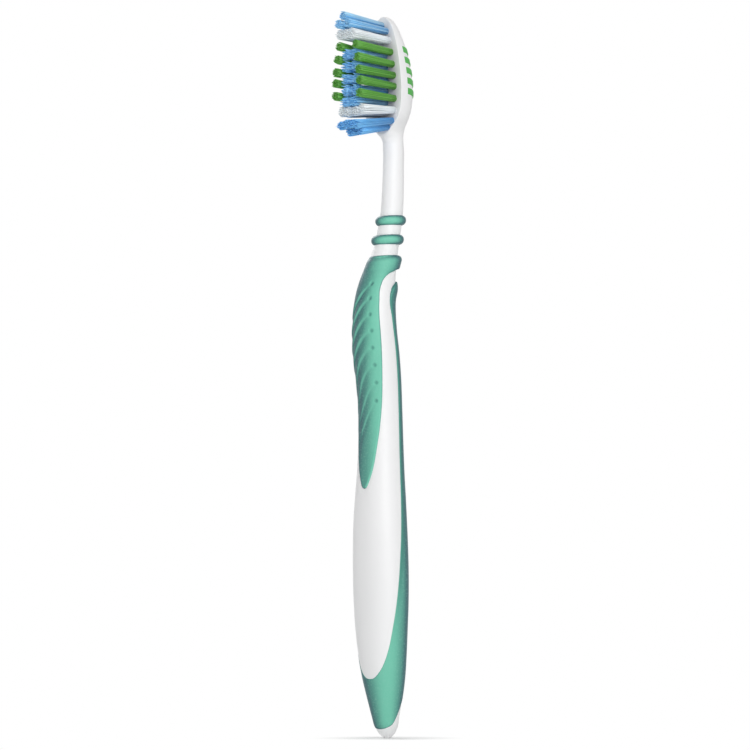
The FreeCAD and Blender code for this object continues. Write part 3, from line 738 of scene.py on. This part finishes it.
# %% Pad piece
pad_points = np.vstack([pad_outer.reshape(-1, 3), pad_inner.reshape(-1, 3)])
nothing = np.zeros(flutes.size)
make_piece("thumb_pad", pad_points, skin_faces(len(pad_rows), PAD_COLUMNS, pad_full), soft_teal,
           ["thumb_grip"],
           {"groove": np.append(flutes, nothing), "pit": np.append(pits, nothing)})

# %% [markdown]
# ## Back strip and tail sleeve
#
# The second skin runs down the back as a strip, widens below and wraps the tail as a sleeve,
# whose hem slants up towards the back. The white panel in front ends in a U where both sides of
# the skin meet. Two pieces would show a seam there, so one grid does both: the rows of the strip
# from the top down, and then rows that bend towards the hem.

# %% Grid of the strip
STRIP_EDGE = ((15.4, -1.00), (16.4, -0.94), (18.4, -0.81), (23.4, -0.57), (29.4, -0.39),
              (35.2, -0.25), (40.7, -0.14), (47.5, -0.02), (54.3, 0.10), (63.5, 0.19),
              (75.0, 0.24), (88.5, 0.28), (100.9, 0.31), (105.3, 0.31), (110.3, 0.21),
              (114.0, 0.06), (116.4, 0.09), (118.4, 0.32), (119.4, 0.70), (119.9, 1.00))
STRIP_STEPS = ((15.4, 16.6, 0.12), (16.6, 112, 1.0), (112, 118, 0.5), (118, 119.9, 0.14))
SLEEVE_TOP, STRIP_TOP = STRIP_EDGE[0][0], STRIP_EDGE[-1][0]
HEM = ((-1.00, 2.3), (-0.74, 2.7), (-0.10, 4.2), (0.20, 5.9), (0.45, 7.9), (0.70, 9.8),
       (1.00, 11.4))
STRIP_COLUMNS = 72
SLEEVE_ROWS = 26
HEM_CROWDING = 1.4
NO_GAP = 1e-3

spread = crowded(STRIP_COLUMNS)
strip_rows = row_heights(STRIP_STEPS, STRIP_TOP)[::-1]
strip_turn = edge_turn(curve_of(STRIP_EDGE, strip_rows))
strip_turns = math.pi + (math.pi - strip_turn)[:, None] * spread[None, :]
strip_heights = strip_rows[:, None] + 0 * strip_turns
sleeve_turns = math.pi + math.pi * spread[None, :] * np.ones((SLEEVE_ROWS, 1))
hem = curve_of(HEM, -around(sleeve_turns, GRIP_FULLNESS)[1])
down = 1 - (1 - np.linspace(0, 1, SLEEVE_ROWS + 1)[1:, None]) ** HEM_CROWDING
sleeve_heights = SLEEVE_TOP + (hem - SLEEVE_TOP) * down
turn_grid = np.vstack([strip_turns, sleeve_turns])
height_grid = np.vstack([strip_heights, sleeve_heights])
strip_full = np.append(strip_turn < NO_GAP, np.ones(SLEEVE_ROWS, bool))
flush = surface(height_grid, turn_grid, 0.0)
from_rim = nearest(flush, rim_points(flush, strip_full, [-1]))
print("rows of the strip:", len(strip_rows), "rows of the sleeve:", SLEEVE_ROWS,
      "hem from", round(float(hem.min()), 1), "to", round(float(hem.max()), 1), "mm")

# %% Strip piece
STRIP_PROUD, SLEEVE_PROUD, STRIP_SINK = 0.28, 0.10, 0.06
STRIP_RIM = 0.4
THIN_BELOW, THICKER_RUN = 30, 60
KNOB_HIGH, KNOB_AT, KNOB_REACH = 0.45, 117.6, 2.2
RIM_SHADE, RIM_SHADE_WIDTH = 1.4, 1.8
SHADE_ABOVE, SHADE_RISE = 20, 30

thicker = np.clip((height_grid - THIN_BELOW) / THICKER_RUN, 0, 1)
swell = SLEEVE_PROUD + (STRIP_PROUD - SLEEVE_PROUD) * thicker
swell += KNOB_HIGH * np.exp(-((height_grid - KNOB_AT) / KNOB_REACH) ** 2)
strip_outer = surface(height_grid, turn_grid, rolled(from_rim, swell, STRIP_RIM, STRIP_SINK))
strip_inner = surface(height_grid, turn_grid, SKIN_UNDER)
strip_points = np.vstack([strip_outer.reshape(-1, 3), strip_inner.reshape(-1, 3)])
# Painted shade along the rim of the strip, where it turns away from the light, above the sleeve.
rim_shade = RIM_SHADE * (1 - eased(from_rim / RIM_SHADE_WIDTH))
rim_shade = (rim_shade * eased((height_grid - SHADE_ABOVE) / SHADE_RISE)).reshape(-1)
make_piece("back_strip", strip_points, skin_faces(len(turn_grid), STRIP_COLUMNS, strip_full),
           soft_teal, ["back_grip"],
           {"groove": np.zeros(len(strip_points)), "pit": np.append(rim_shade, rim_shade)})

# %% [markdown]
# ## Rings round the neck
#
# Two soft rings sit in grooves at the foot of the neck, and look turned: a flat band with well
# rounded rims. A torus would be too round and a cylinder too sharp, so each is one rounded
# profile swept round the neck, and leans as the collar does.

# %% Rings
RINGS = (("neck_band_lower", "neck_ring_lower", 130.8, 4.32),
         ("neck_band_upper", "neck_ring_upper", 136.0, 4.08))
RING_BORE = 2.4
RING_HALF = 1.34
RING_ROUND = 1.30
RING_TURNS = 72
CORNER_STEPS = 8

corner = [(RING_ROUND * math.cos(a), RING_ROUND * math.sin(a))
          for a in np.linspace(0, math.pi / 2, CORNER_STEPS)]
ring_turns = np.linspace(0, 2 * math.pi, RING_TURNS, endpoint=False)
for name, node, ring_height, ring_radius in RINGS:
    outer_rim = [(ring_radius - RING_ROUND + r, RING_HALF - RING_ROUND + z) for r, z in corner]
    profile = [(r, -z) for r, z in reversed(outer_rim)] + outer_rim
    profile += [(RING_BORE, RING_HALF), (RING_BORE, -RING_HALF)]
    ring_middle = float(section(ring_height)[0])
    points = [(r * math.sin(a), ring_middle - r * math.cos(a),
               ring_height + z - r * math.cos(a) * LEAN) for r, z in profile for a in ring_turns]
    faces = grid_faces(len(profile), RING_TURNS, True)
    last = (len(profile) - 1) * RING_TURNS
    faces += [(last + k, last + (k + 1) % RING_TURNS, (k + 1) % RING_TURNS, k)
              for k in range(RING_TURNS)]
    plain = np.zeros(len(points))
    make_piece(name, points, faces, soft_teal, [node],
               {"groove": plain, "pit": plain})

# %% [markdown]
# ## Tongue cleaner bars
#
# Five soft green bars lie across the back of the head. Seen from behind each is a shallow V.
# Straight strips laid on the head would stand off its rounded back, so the bars take their depth
# from the head's own sections, stand a little proud of it and have rolled rims. Their soft green
# is like the teal without the pearl, a satin plastic with a fine fleck.

# %% Soft green
GREEN_LIGHT, GREEN_DEEP = (0.11, 0.50, 0.10, 1), (0.055, 0.36, 0.055, 1)

soft_green = Finish("soft_green", Roughness=0.45)
fleck = soft_green.noise(2400, 3)
soft_green.feed("Base Color", soft_green.blend(fleck, GREEN_DEEP, GREEN_LIGHT))
soft_green.feed("Roughness", 0.38 + 0.2 * fleck)
soft_green.bump(fleck, 0.00003, 0.5)
print("nodes in soft green:", len(soft_green.tree.nodes))

# %% Bars
BARS = 5
BAR_FIRST, BAR_PITCH = 168.9, 2.8
BAR_HEIGHT, BAR_SHARE, BAR_DROP = 1.76, 0.99, 2.3
BAR_PROUD, BAR_UNDER = 0.25, -0.5
BAR_RIM, BAR_SINK = 0.4, 0.1
BAR_COLUMNS, BAR_ROWS = 40, 12

along = crowded(BAR_COLUMNS)[:, None]
upward = crowded(BAR_ROWS)[None, :]
bar_faces = skin_faces(BAR_COLUMNS, BAR_ROWS, [False] * BAR_COLUMNS)
for number in range(BARS):
    level = BAR_FIRST + number * BAR_PITCH + BAR_HEIGHT / 2 * (1 + upward)
    height = level - BAR_DROP * (1 - np.abs(along))
    middle, half_width, half_depth, fullness = section(height)
    reach = BAR_SHARE * section(level)[1]
    across = reach * along
    inward = np.minimum((1 - np.abs(along)) * reach,
                        (1 - np.abs(upward)) * BAR_HEIGHT / 2 + 0 * along)
    layers = []
    for proud in (rolled(inward, BAR_PROUD, BAR_RIM, BAR_SINK), BAR_UNDER + 0 * inward):
        share = np.clip(np.abs(across) / (half_width + proud), 0, 0.99999)
        back = middle + (half_depth + proud) * (1 - share ** fullness) ** (1 / fullness)
        layers.append(np.stack([across, back, height], axis=-1).reshape(-1, 3))
    make_piece(f"cleaner_bar_{number + 1}", np.vstack(layers), bar_faces, soft_green,
               [f"tongue_bar_{number + 1}"])

# %% [markdown]
# ## Nylon for the bristles
#
# A tuft is about thirty nylon filaments, folded over a metal strip and pressed into a hole, so
# some sixty ends stand up. Nylon is clear, and where light comes through it a filament looks
# paler. Clear filaments by the thousand would be slow and noisy to render, so that light is
# painted into the colour: each filament has its own share of painted paleness, and grows paler
# towards its tip.

# %% Bristle finishes
FADE_START, FADE_END = 0.1, 1.0
PALE_AMOUNT, PALE_ROUGHNESS = 0.75, 0.15


def bristle_finish(name, root, tip, pale, roughness):
    """Nylon of one colour, with painted paleness for light through it, set by a number for each
    filament.
    """
    finish = Finish(name, Roughness=roughness, IOR=1.53)
    # Painted light: paler towards the tip and by each filament's number, for light through the
    # nylon.
    base = finish.blend(finish.attribute("along").between(FADE_START, FADE_END), root, tip)
    base = finish.blend(finish.attribute("depth") * PALE_AMOUNT, base, pale)
    finish.feed("Base Color", base)
    finish.feed("Roughness", roughness + PALE_ROUGHNESS * finish.attribute("depth"))
    return finish


FINISHES = {
    "blue": bristle_finish("blue_nylon", (0.07, 0.29, 0.64, 1), (0.17, 0.55, 0.98, 1),
                           (0.58, 0.88, 1.0, 1), 0.25),
    "green": bristle_finish("green_nylon", (0.05, 0.23, 0.02, 1), (0.08, 0.35, 0.03, 1),
                            (0.19, 0.52, 0.09, 1), 0.3),
    "white": bristle_finish("white_nylon", (0.84, 0.92, 0.97, 1), (0.90, 0.97, 1.0, 1),
                            (0.97, 0.99, 1.0, 1), 0.25),
}
print("nylons:", sorted(FINISHES))

# %% [markdown]
# ## A tree that bundles filaments
#
# The real tufts are all made the same way, so one Geometry Nodes tree makes them all. Its input
# is one point for each tuft, which carries where the tuft aims, how long it is, how far it
# spreads, how ragged and scattered its tips are, and how pale a filament may be. Every random
# draw has its own seed, so the bristles are the same on each run.

# %% Bundle trees
class BundleTree(Tree):
    """A Geometry Nodes tree with named inputs, and the nodes that bundles need."""

    def __init__(self, name, inputs):
        group = bpy.data.node_groups.new(name, "GeometryNodeTree")
        super().__init__(group)
        for label, kind in inputs:
            group.interface.new_socket(label, in_out="INPUT", socket_type=kind)
        group.interface.new_socket("Geometry", in_out="OUTPUT",
                                   socket_type="NodeSocketGeometry")
        entry = group.nodes.new("NodeGroupInput")
        self.given = {socket.name: Wire(self, socket) for socket in entry.outputs if socket.name}

    def carried(self, name, kind="FLOAT"):
        """A value that each point or filament carries."""
        return self.node("GeometryNodeInputNamedAttribute", {"data_type": kind}, {"Name": name})

    def stored(self, geometry, name, value, kind="FLOAT", domain="INSTANCE"):
        """Let each point or filament carry a value."""
        return self.node("GeometryNodeStoreNamedAttribute", {"data_type": kind, "domain": domain},
                         {"Geometry": geometry, "Name": name, "Value": value})

    def chance(self, low, high, draw):
        """A random number for each filament."""
        return self.node("FunctionNodeRandomValue", {"data_type": "FLOAT"},
                         {2: low, 3: high, "Seed": self.given["Seed"] + draw}, 1)

    def chance_vector(self, size, draw):
        """A random vector for each filament."""
        return self.node("FunctionNodeRandomValue", {"data_type": "FLOAT_VECTOR"},
                         {0: (-size, -size, -size), 1: (size, size, size),
                          "Seed": self.given["Seed"] + draw}, 0)


print("a bundle tree can also do:", [name for name in vars(BundleTree) if name[0] != "_"])

# %% [markdown]
# ## One filament, and its place in the root
#
# Real tips are ground round. Thousands of round tips would cost too many faces, so a filament
# has six sides and ends in a short cone. It is one unit long and one unit in radius, and each
# copy is scaled to its tuft. The copies fill the root in a sunflower pattern, each turned by the
# golden angle from the last, which is the closest way to pack a round hole evenly.

# %% One filament
FILAMENT_SIDES, FILAMENT_SEGMENTS = 6, 4
TIP_SHARE, TIP_RADIUS = 0.025, 0.45


def filament_shape(tree):
    """A shaft and a tip along Z, which carry their height as a number for the colour."""
    shaft = tree.node("GeometryNodeMeshCylinder", {"fill_type": "NGON"},
                      {"Vertices": FILAMENT_SIDES, "Side Segments": FILAMENT_SEGMENTS,
                       "Radius": 1.0, "Depth": 1 - TIP_SHARE})
    shaft = tree.node("GeometryNodeTransform", {},
                      {"Geometry": shaft, "Translation": (0.0, 0.0, (1 - TIP_SHARE) / 2)})
    tip = tree.node("GeometryNodeMeshCone", {"fill_type": "NGON"},
                    {"Vertices": FILAMENT_SIDES, "Radius Top": TIP_RADIUS, "Radius Bottom": 1.0,
                     "Depth": TIP_SHARE})
    tip = tree.node("GeometryNodeTransform", {},
                    {"Geometry": tip, "Translation": (0.0, 0.0, 1 - TIP_SHARE)})
    filament = tree.node("GeometryNodeJoinGeometry", {}, {"Geometry": shaft})
    tree.tree.links.new(tip.socket, filament.socket.node.inputs["Geometry"])
    place = tree.node("GeometryNodeInputPosition")
    up = tree.node("ShaderNodeSeparateXYZ", {}, {0: place}, "Z")
    return tree.stored(filament, "along", up, domain="POINT")


print("sides of a filament:", FILAMENT_SIDES, "share of its tip:", TIP_SHARE)

# %% Roots
GOLDEN_ANGLE = 2.399963


def filled_roots(tree, aim):
    """Copies of each tuft's point, spread over its root, and how far out each one stands."""
    copied = tree.node("GeometryNodeDuplicateElements", {"domain": "POINT"},
                       {"Geometry": tree.given["Geometry"], "Amount": tree.given["Count"]})
    copy_index = Wire(tree, copied.socket.node.outputs["Duplicate Index"])
    reach = ((copy_index + 0.5) / tree.given["Count"]).power(0.5)
    angle = copy_index * GOLDEN_ANGLE
    side = tree.vector_sum("CROSS_PRODUCT", aim, (1.0, 0.0, 0.0))
    other = tree.vector_sum("CROSS_PRODUCT", side, aim)
    cosine = tree.node("ShaderNodeMath", {"operation": "COSINE"}, {0: angle})
    sine = tree.node("ShaderNodeMath", {"operation": "SINE"}, {0: angle})
    outward = tree.vector_sum("ADD", tree.scaled(side, cosine * reach),
                              tree.scaled(other, sine * reach))
    offset = tree.scaled(outward, tree.given["Root radius"])
    rooted = tree.node("GeometryNodeSetPosition", {}, {"Geometry": copied, "Offset": offset})
    return rooted, outward


print("golden angle in degrees:", round(math.degrees(GOLDEN_ANGLE), 1))

# %% [markdown]
# ## The whole bristle tree
#
# Each filament leans by its tuft's aim, by the spread of the tuft and by a little scatter of its
# own, and worn or crimped tufts end unevenly. After the instances are made real, each filament
# also sways a little towards its tip, because no nylon is dead straight.

# %% Bristle tree
BRISTLE_INPUTS = (
    ("Geometry", "NodeSocketGeometry"), ("Count", "NodeSocketInt"),
    ("Root radius", "NodeSocketFloat"), ("Filament radius", "NodeSocketFloat"),
    ("Sway", "NodeSocketFloat"), ("Seed", "NodeSocketInt"), ("Finish", "NodeSocketMaterial"),
)


def bristle_tree():
    """Points with aims go in, bundles of filaments come out."""
    tree = BundleTree("bristle_bundles", BRISTLE_INPUTS)
    given = tree.given
    aim = tree.carried("aim", "FLOAT_VECTOR")
    rooted, outward = filled_roots(tree, aim)
    length = tree.carried("length") + tree.chance(-1.0, 0.0, 1) * tree.carried("ragged")
    splay = tree.scaled(outward, tree.carried("spread") - given["Root radius"])
    scatter = tree.scaled(tree.chance_vector(1.0, 2), tree.carried("scatter"))
    lean = tree.vector_sum("ADD", tree.scaled(aim, length), splay)
    lean = tree.vector_sum("ADD", lean, scatter)
    turn = tree.node("FunctionNodeAlignRotationToVector", {"axis": "Z"}, {"Vector": lean})
    size = tree.node("ShaderNodeCombineXYZ", {},
                     {0: given["Filament radius"], 1: given["Filament radius"], 2: length})
    standing = tree.node("GeometryNodeInstanceOnPoints", {},
                         {"Points": rooted, "Instance": filament_shape(tree),
                          "Rotation": turn, "Scale": size})
    standing = tree.stored(standing, "depth", tree.chance(0.0, 1.0, 3) * tree.carried("pale"))
    standing = tree.stored(standing, "sway", tree.chance_vector(1.0, 4), "FLOAT_VECTOR")
    real = tree.node("GeometryNodeRealizeInstances", {}, {"Geometry": standing})
    bend = tree.carried("along") * tree.carried("along") * given["Sway"]
    swayed = tree.scaled(tree.carried("sway", "FLOAT_VECTOR"), bend)
    real = tree.node("GeometryNodeSetPosition", {}, {"Geometry": real, "Offset": swayed})
    real = tree.node("GeometryNodeSetShadeSmooth", {}, {"Geometry": real})
    done = tree.node("GeometryNodeSetMaterial", {},
                     {"Geometry": real, "Material": given["Finish"]})
    leave = tree.tree.nodes.new("NodeGroupOutput")
    tree.tree.links.new(done.socket, leave.inputs["Geometry"])
    return tree.tree


bundles = bristle_tree()
print("nodes in the bristle tree:", len(bundles.nodes))

# %% [markdown]
# ## Where each tuft stands
#
# Each tuft of the packed model gives its own root and aim: the middle of its far end, less the
# middle of the end that sits in its hole. So the bristles move with the model, and no second
# list of places has to be kept. In the photograph the roots stand nearer the middle than in the
# packed model, and so do the tips of the white tufts and of those at the heel. They move in by a
# share.

# %% Tuft lines
ROOT_INWARD = 0.86
TIP_INWARD = 0.76
END_BAND = 0.5


def tuft_line(node):
    """Where a tuft leaves the face, and where its tips end, in millimetres."""
    places = np.array([vertex.co[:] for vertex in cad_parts[node].data.vertices]) / MM
    front = places[places[:, 1] < places[:, 1].min() + END_BAND].mean(axis=0)
    mouth = places[places[:, 1] > places[:, 1].max() - END_BAND].mean(axis=0)
    share = (FACE - mouth[1]) / (front[1] - mouth[1])
    root = mouth + (front - mouth) * share
    root[0] *= ROOT_INWARD
    if "white" in node or "heel" in node:
        front[0] *= TIP_INWARD
    return root, front


tuft_nodes = sorted(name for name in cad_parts
                    if name.startswith("tuft_") and name != "tuft_anchors")
groups = {"green": [name for name in tuft_nodes if "edge" in name],
          "white": [name for name in tuft_nodes if "white" in name]}
groups["blue"] = [name for name in tuft_nodes if name not in groups["green"] + groups["white"]]
print("tufts:", {colour: len(names) for colour, names in groups.items()})

# %% [markdown]
# ## The habit of each tuft
#
# The blue tufts between the green ones are shorter and ragged, with loose ends. The white ones
# fan out, the green ones stand close, and the heel is cut a little lower than the packed solids.
# Five numbers for each kind say this: the radius at the tips, how ragged and how scattered they
# are, how pale a filament may be, and what is cut off. The points that carry them are sunk into
# their holes by one part of the length, so that no root shows its end.

# %% Tuft points
SUNK_PARTS = 12


def tuft_habit(name):
    """Spread, raggedness and scatter of the tips, paleness of the palest filament, and cut."""
    if "white" in name:
        return 1.30, 0.45, 0.10, 1.0, 0.5 if "heel" in name else 0.0
    if "inner" in name:
        return 1.25, 1.4, 0.25, 0.6, 0.0
    # The heel keeps little of the painted paleness, so it is darker: painted shade from the tufts
    # above it.
    if "heel" in name:
        return 1.12, 0.6, 0.10, 0.1, 2.6 if "low" in name else 0.2
    return 1.08, 0.3, 0.07, 1.0, 0.05


def tuft_points(colour, names):
    """One point for each tuft, sunk in its hole, with the numbers that the tree reads."""
    aims, places = [], []
    numbers = {label: [] for label in ("length", "spread", "ragged", "scatter", "pale")}
    for name in names:
        root, front = tuft_line(name)
        spread, ragged, scatter, pale, cut = tuft_habit(name)
        full = np.linalg.norm(front - root)
        length = full * (SUNK_PARTS + 1) / SUNK_PARTS - cut
        places.append(tuple((root - (front - root) / SUNK_PARTS) * MM))
        aims += list((front - root) / full)
        row = (length * MM, spread * MM, ragged * MM, scatter * MM, pale)
        for values, value in zip(numbers.values(), row):
            values.append(value)
    points = bpy.data.meshes.new(f"{colour}_roots")
    points.from_pydata(places, [], [])
    points.attributes.new("aim", "FLOAT_VECTOR", "POINT").data.foreach_set("vector", aims)
    for label, values in numbers.items():
        points.attributes.new(label, "FLOAT", "POINT").data.foreach_set("value", values)
    return points


root, front = tuft_line(tuft_nodes[0])
print(tuft_nodes[0], "is", round(float(np.linalg.norm(front - root)), 1), "mm long")

# %% [markdown]
# ## The bristles grow
#
# The tree runs as a modifier on each colour's points. Its inputs are set by their identifiers
# before the object is first evaluated. The result is kept as a plain mesh, because an exporter
# knows nothing of modifiers, and the helper object goes.

# %% Bristles
FILAMENTS = 64
FILAMENT_RADIUS = 0.125
ROOT_RADIUS = 0.80
SWAY = 0.12
FIRST_SEED, SEED_STEP = 11, 10


def grown_bristles(colour, points, seed):
    """Run the tree on the points and keep its result as a plain mesh."""
    finish = FINISHES[colour].material
    maker = bpy.data.objects.new(f"{colour}_maker", points)
    scene.collection.objects.link(maker)
    nodes = maker.modifiers.new("bundles", "NODES")
    nodes.node_group = bundles
    wanted = {"Count": FILAMENTS, "Root radius": ROOT_RADIUS * MM,
              "Filament radius": FILAMENT_RADIUS * MM, "Sway": SWAY * MM, "Seed": seed,
              "Finish": finish}
    for socket in bundles.interface.items_tree:
        if socket.in_out == "INPUT" and socket.name in wanted:
            nodes[socket.identifier] = wanted[socket.name]
    graph = bpy.context.evaluated_depsgraph_get()
    mesh = bpy.data.meshes.new_from_object(maker.evaluated_get(graph), depsgraph=graph)
    mesh.name = f"{colour}_bristles"
    mesh.materials.clear()
    mesh.materials.append(finish)
    mesh.polygons.foreach_set("material_index", [0] * len(mesh.polygons))
    bpy.data.objects.remove(maker)
    return mesh


for number, (colour, names) in enumerate(sorted(groups.items())):
    mesh = grown_bristles(colour, tuft_points(colour, names), FIRST_SEED + SEED_STEP * number)
    place_piece(f"{colour}_bristles", mesh, names)
    print(mesh.name, "tufts", len(names), "faces", len(mesh.polygons))

# %% [markdown]
# ## Metal strips
#
# Each tuft is folded over a thin brass strip and driven into its hole, where the ends of the
# strip bite into the plastic. The strips lie under the face and only a section would show them,
# but the real brush holds them. Each is a sheet folded once round the filaments, drawn here as a
# hairpin profile along its width. The grain of the brass is noise drawn out along Z.

# %% Brass
BRASS_DEEP, BRASS_LIGHT = (0.62, 0.44, 0.17, 1), (0.80, 0.62, 0.30, 1)

brass = Finish("brass", Metallic=1.0, Roughness=0.3)
brushed = brass.noise(3000, 2, (1, 1, 0.1))
brass.feed("Base Color", brass.blend(brushed, BRASS_DEEP, BRASS_LIGHT))
brass.feed("Roughness", 0.25 + 0.2 * brushed)
print("nodes in brass:", len(brass.tree.nodes))

# %% Metal strips
STRIP_DEPTH = 1.7
STRIP_HALF_WIDTH = 0.85
FOLD_RADIUS, SHEET, LEG = 0.09, 0.13, 0.55
FOLD_STEPS = 7

fold = np.linspace(-math.pi / 2, math.pi / 2, FOLD_STEPS)
outer = FOLD_RADIUS + SHEET
hairpin = [(-LEG, outer)] + [(outer * math.cos(a), -outer * math.sin(a)) for a in fold]
hairpin += [(-LEG, -outer), (-LEG, -FOLD_RADIUS)]
hairpin += [(FOLD_RADIUS * math.cos(a), FOLD_RADIUS * math.sin(a)) for a in fold]
hairpin += [(-LEG, FOLD_RADIUS)]
count = len(hairpin)
strip_points, strip_faces = [], []
for name in tuft_nodes:
    root, front = tuft_line(name)
    aim = (front - root) / np.linalg.norm(front - root)
    across = np.cross((0, 0, 1), aim)
    across /= np.linalg.norm(across)
    upward = np.cross(aim, across)
    start = len(strip_points)
    for end in (-STRIP_HALF_WIDTH, STRIP_HALF_WIDTH):
        strip_points += [root - aim * (STRIP_DEPTH - deep) + upward * high + across * end
                         for deep, high in hairpin]
    strip_faces += [(start + k, start + (k + 1) % count, start + count + (k + 1) % count,
                     start + count + k) for k in range(count)]
    strip_faces += [tuple(start + k for k in reversed(range(count))),
                    tuple(start + count + k for k in range(count))]
make_piece("brass_strips", strip_points, strip_faces, brass, ["tuft_anchors"])

# %% [markdown]
# ## Floor and backdrop
#
# The photograph has a plain white ground without a horizon. Light strong enough to burn a floor
# white would also burn the plastic. So the floor is an ordinary pale surface near the brush,
# where it takes the contact shadow, and a little further away it turns into plain white for the
# camera, and for the rays that come off a gloss or through glass. The same rays see the world
# as white, while the world lights the brush at a plain level.

# %% Floor
FLOOR_REACH = 6.0
FLOOR_PAINT = (0.95, 0.95, 0.95, 1)
WHITE = (1, 1, 1, 1)
SHADOW_KEPT, WHITE_FROM = 0.003, 0.022
BACKDROP_RAYS = ("Is Camera Ray", "Is Glossy Ray", "Is Transmission Ray")


def backdrop_ray(tree):
    """1 for a ray from the camera, off a gloss or through glass, which sees the white ground."""
    rays = [tree.node("ShaderNodeLightPath", output=name) for name in BACKDROP_RAYS]
    return rays[0] + rays[1] + rays[2]


corners = [(-1, -1), (1, -1), (1, 1), (-1, 1)]
floor_mesh = bpy.data.meshes.new("floor")
floor_mesh.from_pydata([(x * FLOOR_REACH, y * FLOOR_REACH, 0) for x, y in corners], [],
                       [(0, 1, 2, 3)])
floor = bpy.data.objects.new("floor", floor_mesh)
scene.collection.objects.link(floor)
floor_paint = Finish("floor_paint", Roughness=0.9, Base_Color=FLOOR_PAINT)
floor_mesh.materials.append(floor_paint.material)
place = floor_paint.node("ShaderNodeTexCoord", output="Object")
away = floor_paint.node("ShaderNodeVectorMath", {"operation": "LENGTH"}, {0: place}, "Value")
white_share = backdrop_ray(floor_paint) * away.between(SHADOW_KEPT, WHITE_FROM)
plain_white = floor_paint.node("ShaderNodeEmission", {}, {"Color": WHITE, "Strength": 1.0})
paint = Wire(floor_paint, floor_paint.shader.outputs["BSDF"])
mixed = floor_paint.node("ShaderNodeMixShader", {}, {0: white_share, 1: paint, 2: plain_white})
floor_paint.tree.links.new(mixed.socket,
                           floor_paint.tree.nodes["Material Output"].inputs["Surface"])
print("floor in metres:", 2 * FLOOR_REACH, "nodes in its paint:", len(floor_paint.tree.nodes))

# %% Backdrop
ROOM_LIGHT = 0.35

world = bpy.data.worlds.new("studio")
scene.world = world
world.use_nodes = True
room = Tree(world.node_tree)
even = world.node_tree.nodes["Background"]
even.inputs["Color"].default_value = WHITE
even.inputs["Strength"].default_value = ROOM_LIGHT
backdrop = room.node("ShaderNodeBackground", {}, {"Color": WHITE, "Strength": 1.0})
sky = room.node("ShaderNodeMixShader", {},
                {0: backdrop_ray(room), 1: Wire(room, even.outputs["Background"]), 2: backdrop})
world.node_tree.links.new(sky.socket, world.node_tree.nodes["World Output"].inputs["Surface"])
print("nodes in the world:", len(world.node_tree.nodes))

# %% [markdown]
# ## Lamps
#
# The photograph is lit softly from the front and a little from behind, so that the plastic is
# bright in the middle and darker at its edges. Small lamps would give hard streaks on the gloss.
# A large square lamp stands in front and above, and a weaker one behind keeps the back of the
# head pale. They are as strong as they can be before the neck clips to white.

# %% Lamps
BRUSH_MIDDLE = Vector((0, 0, 0.1))


def soft_lamp(name, place, width, power):
    """A square lamp that faces the middle of the brush."""
    data = bpy.data.lights.new(name, "AREA")
    data.size = width
    data.energy = power
    lamp = bpy.data.objects.new(name, data)
    lamp.location = place
    lamp.rotation_mode = "QUATERNION"
    lamp.rotation_quaternion = (place - BRUSH_MIDDLE).to_track_quat("Z", "Y")
    scene.collection.objects.link(lamp)
    print(name, "stands", round((place - BRUSH_MIDDLE).length, 2), "m away, watts", power)


soft_lamp("lamp_front", view_back * 0.78 + view_right * 0.10 + Vector((0, 0, 0.45)), 0.55, 3.85)
soft_lamp("lamp_back", view_back * -0.6 + view_right * -0.3 + Vector((0, 0, 0.5)), 0.4, 2.3)

# %% [markdown]
# ## The end
#
# The looks must not change the size of the packed model.
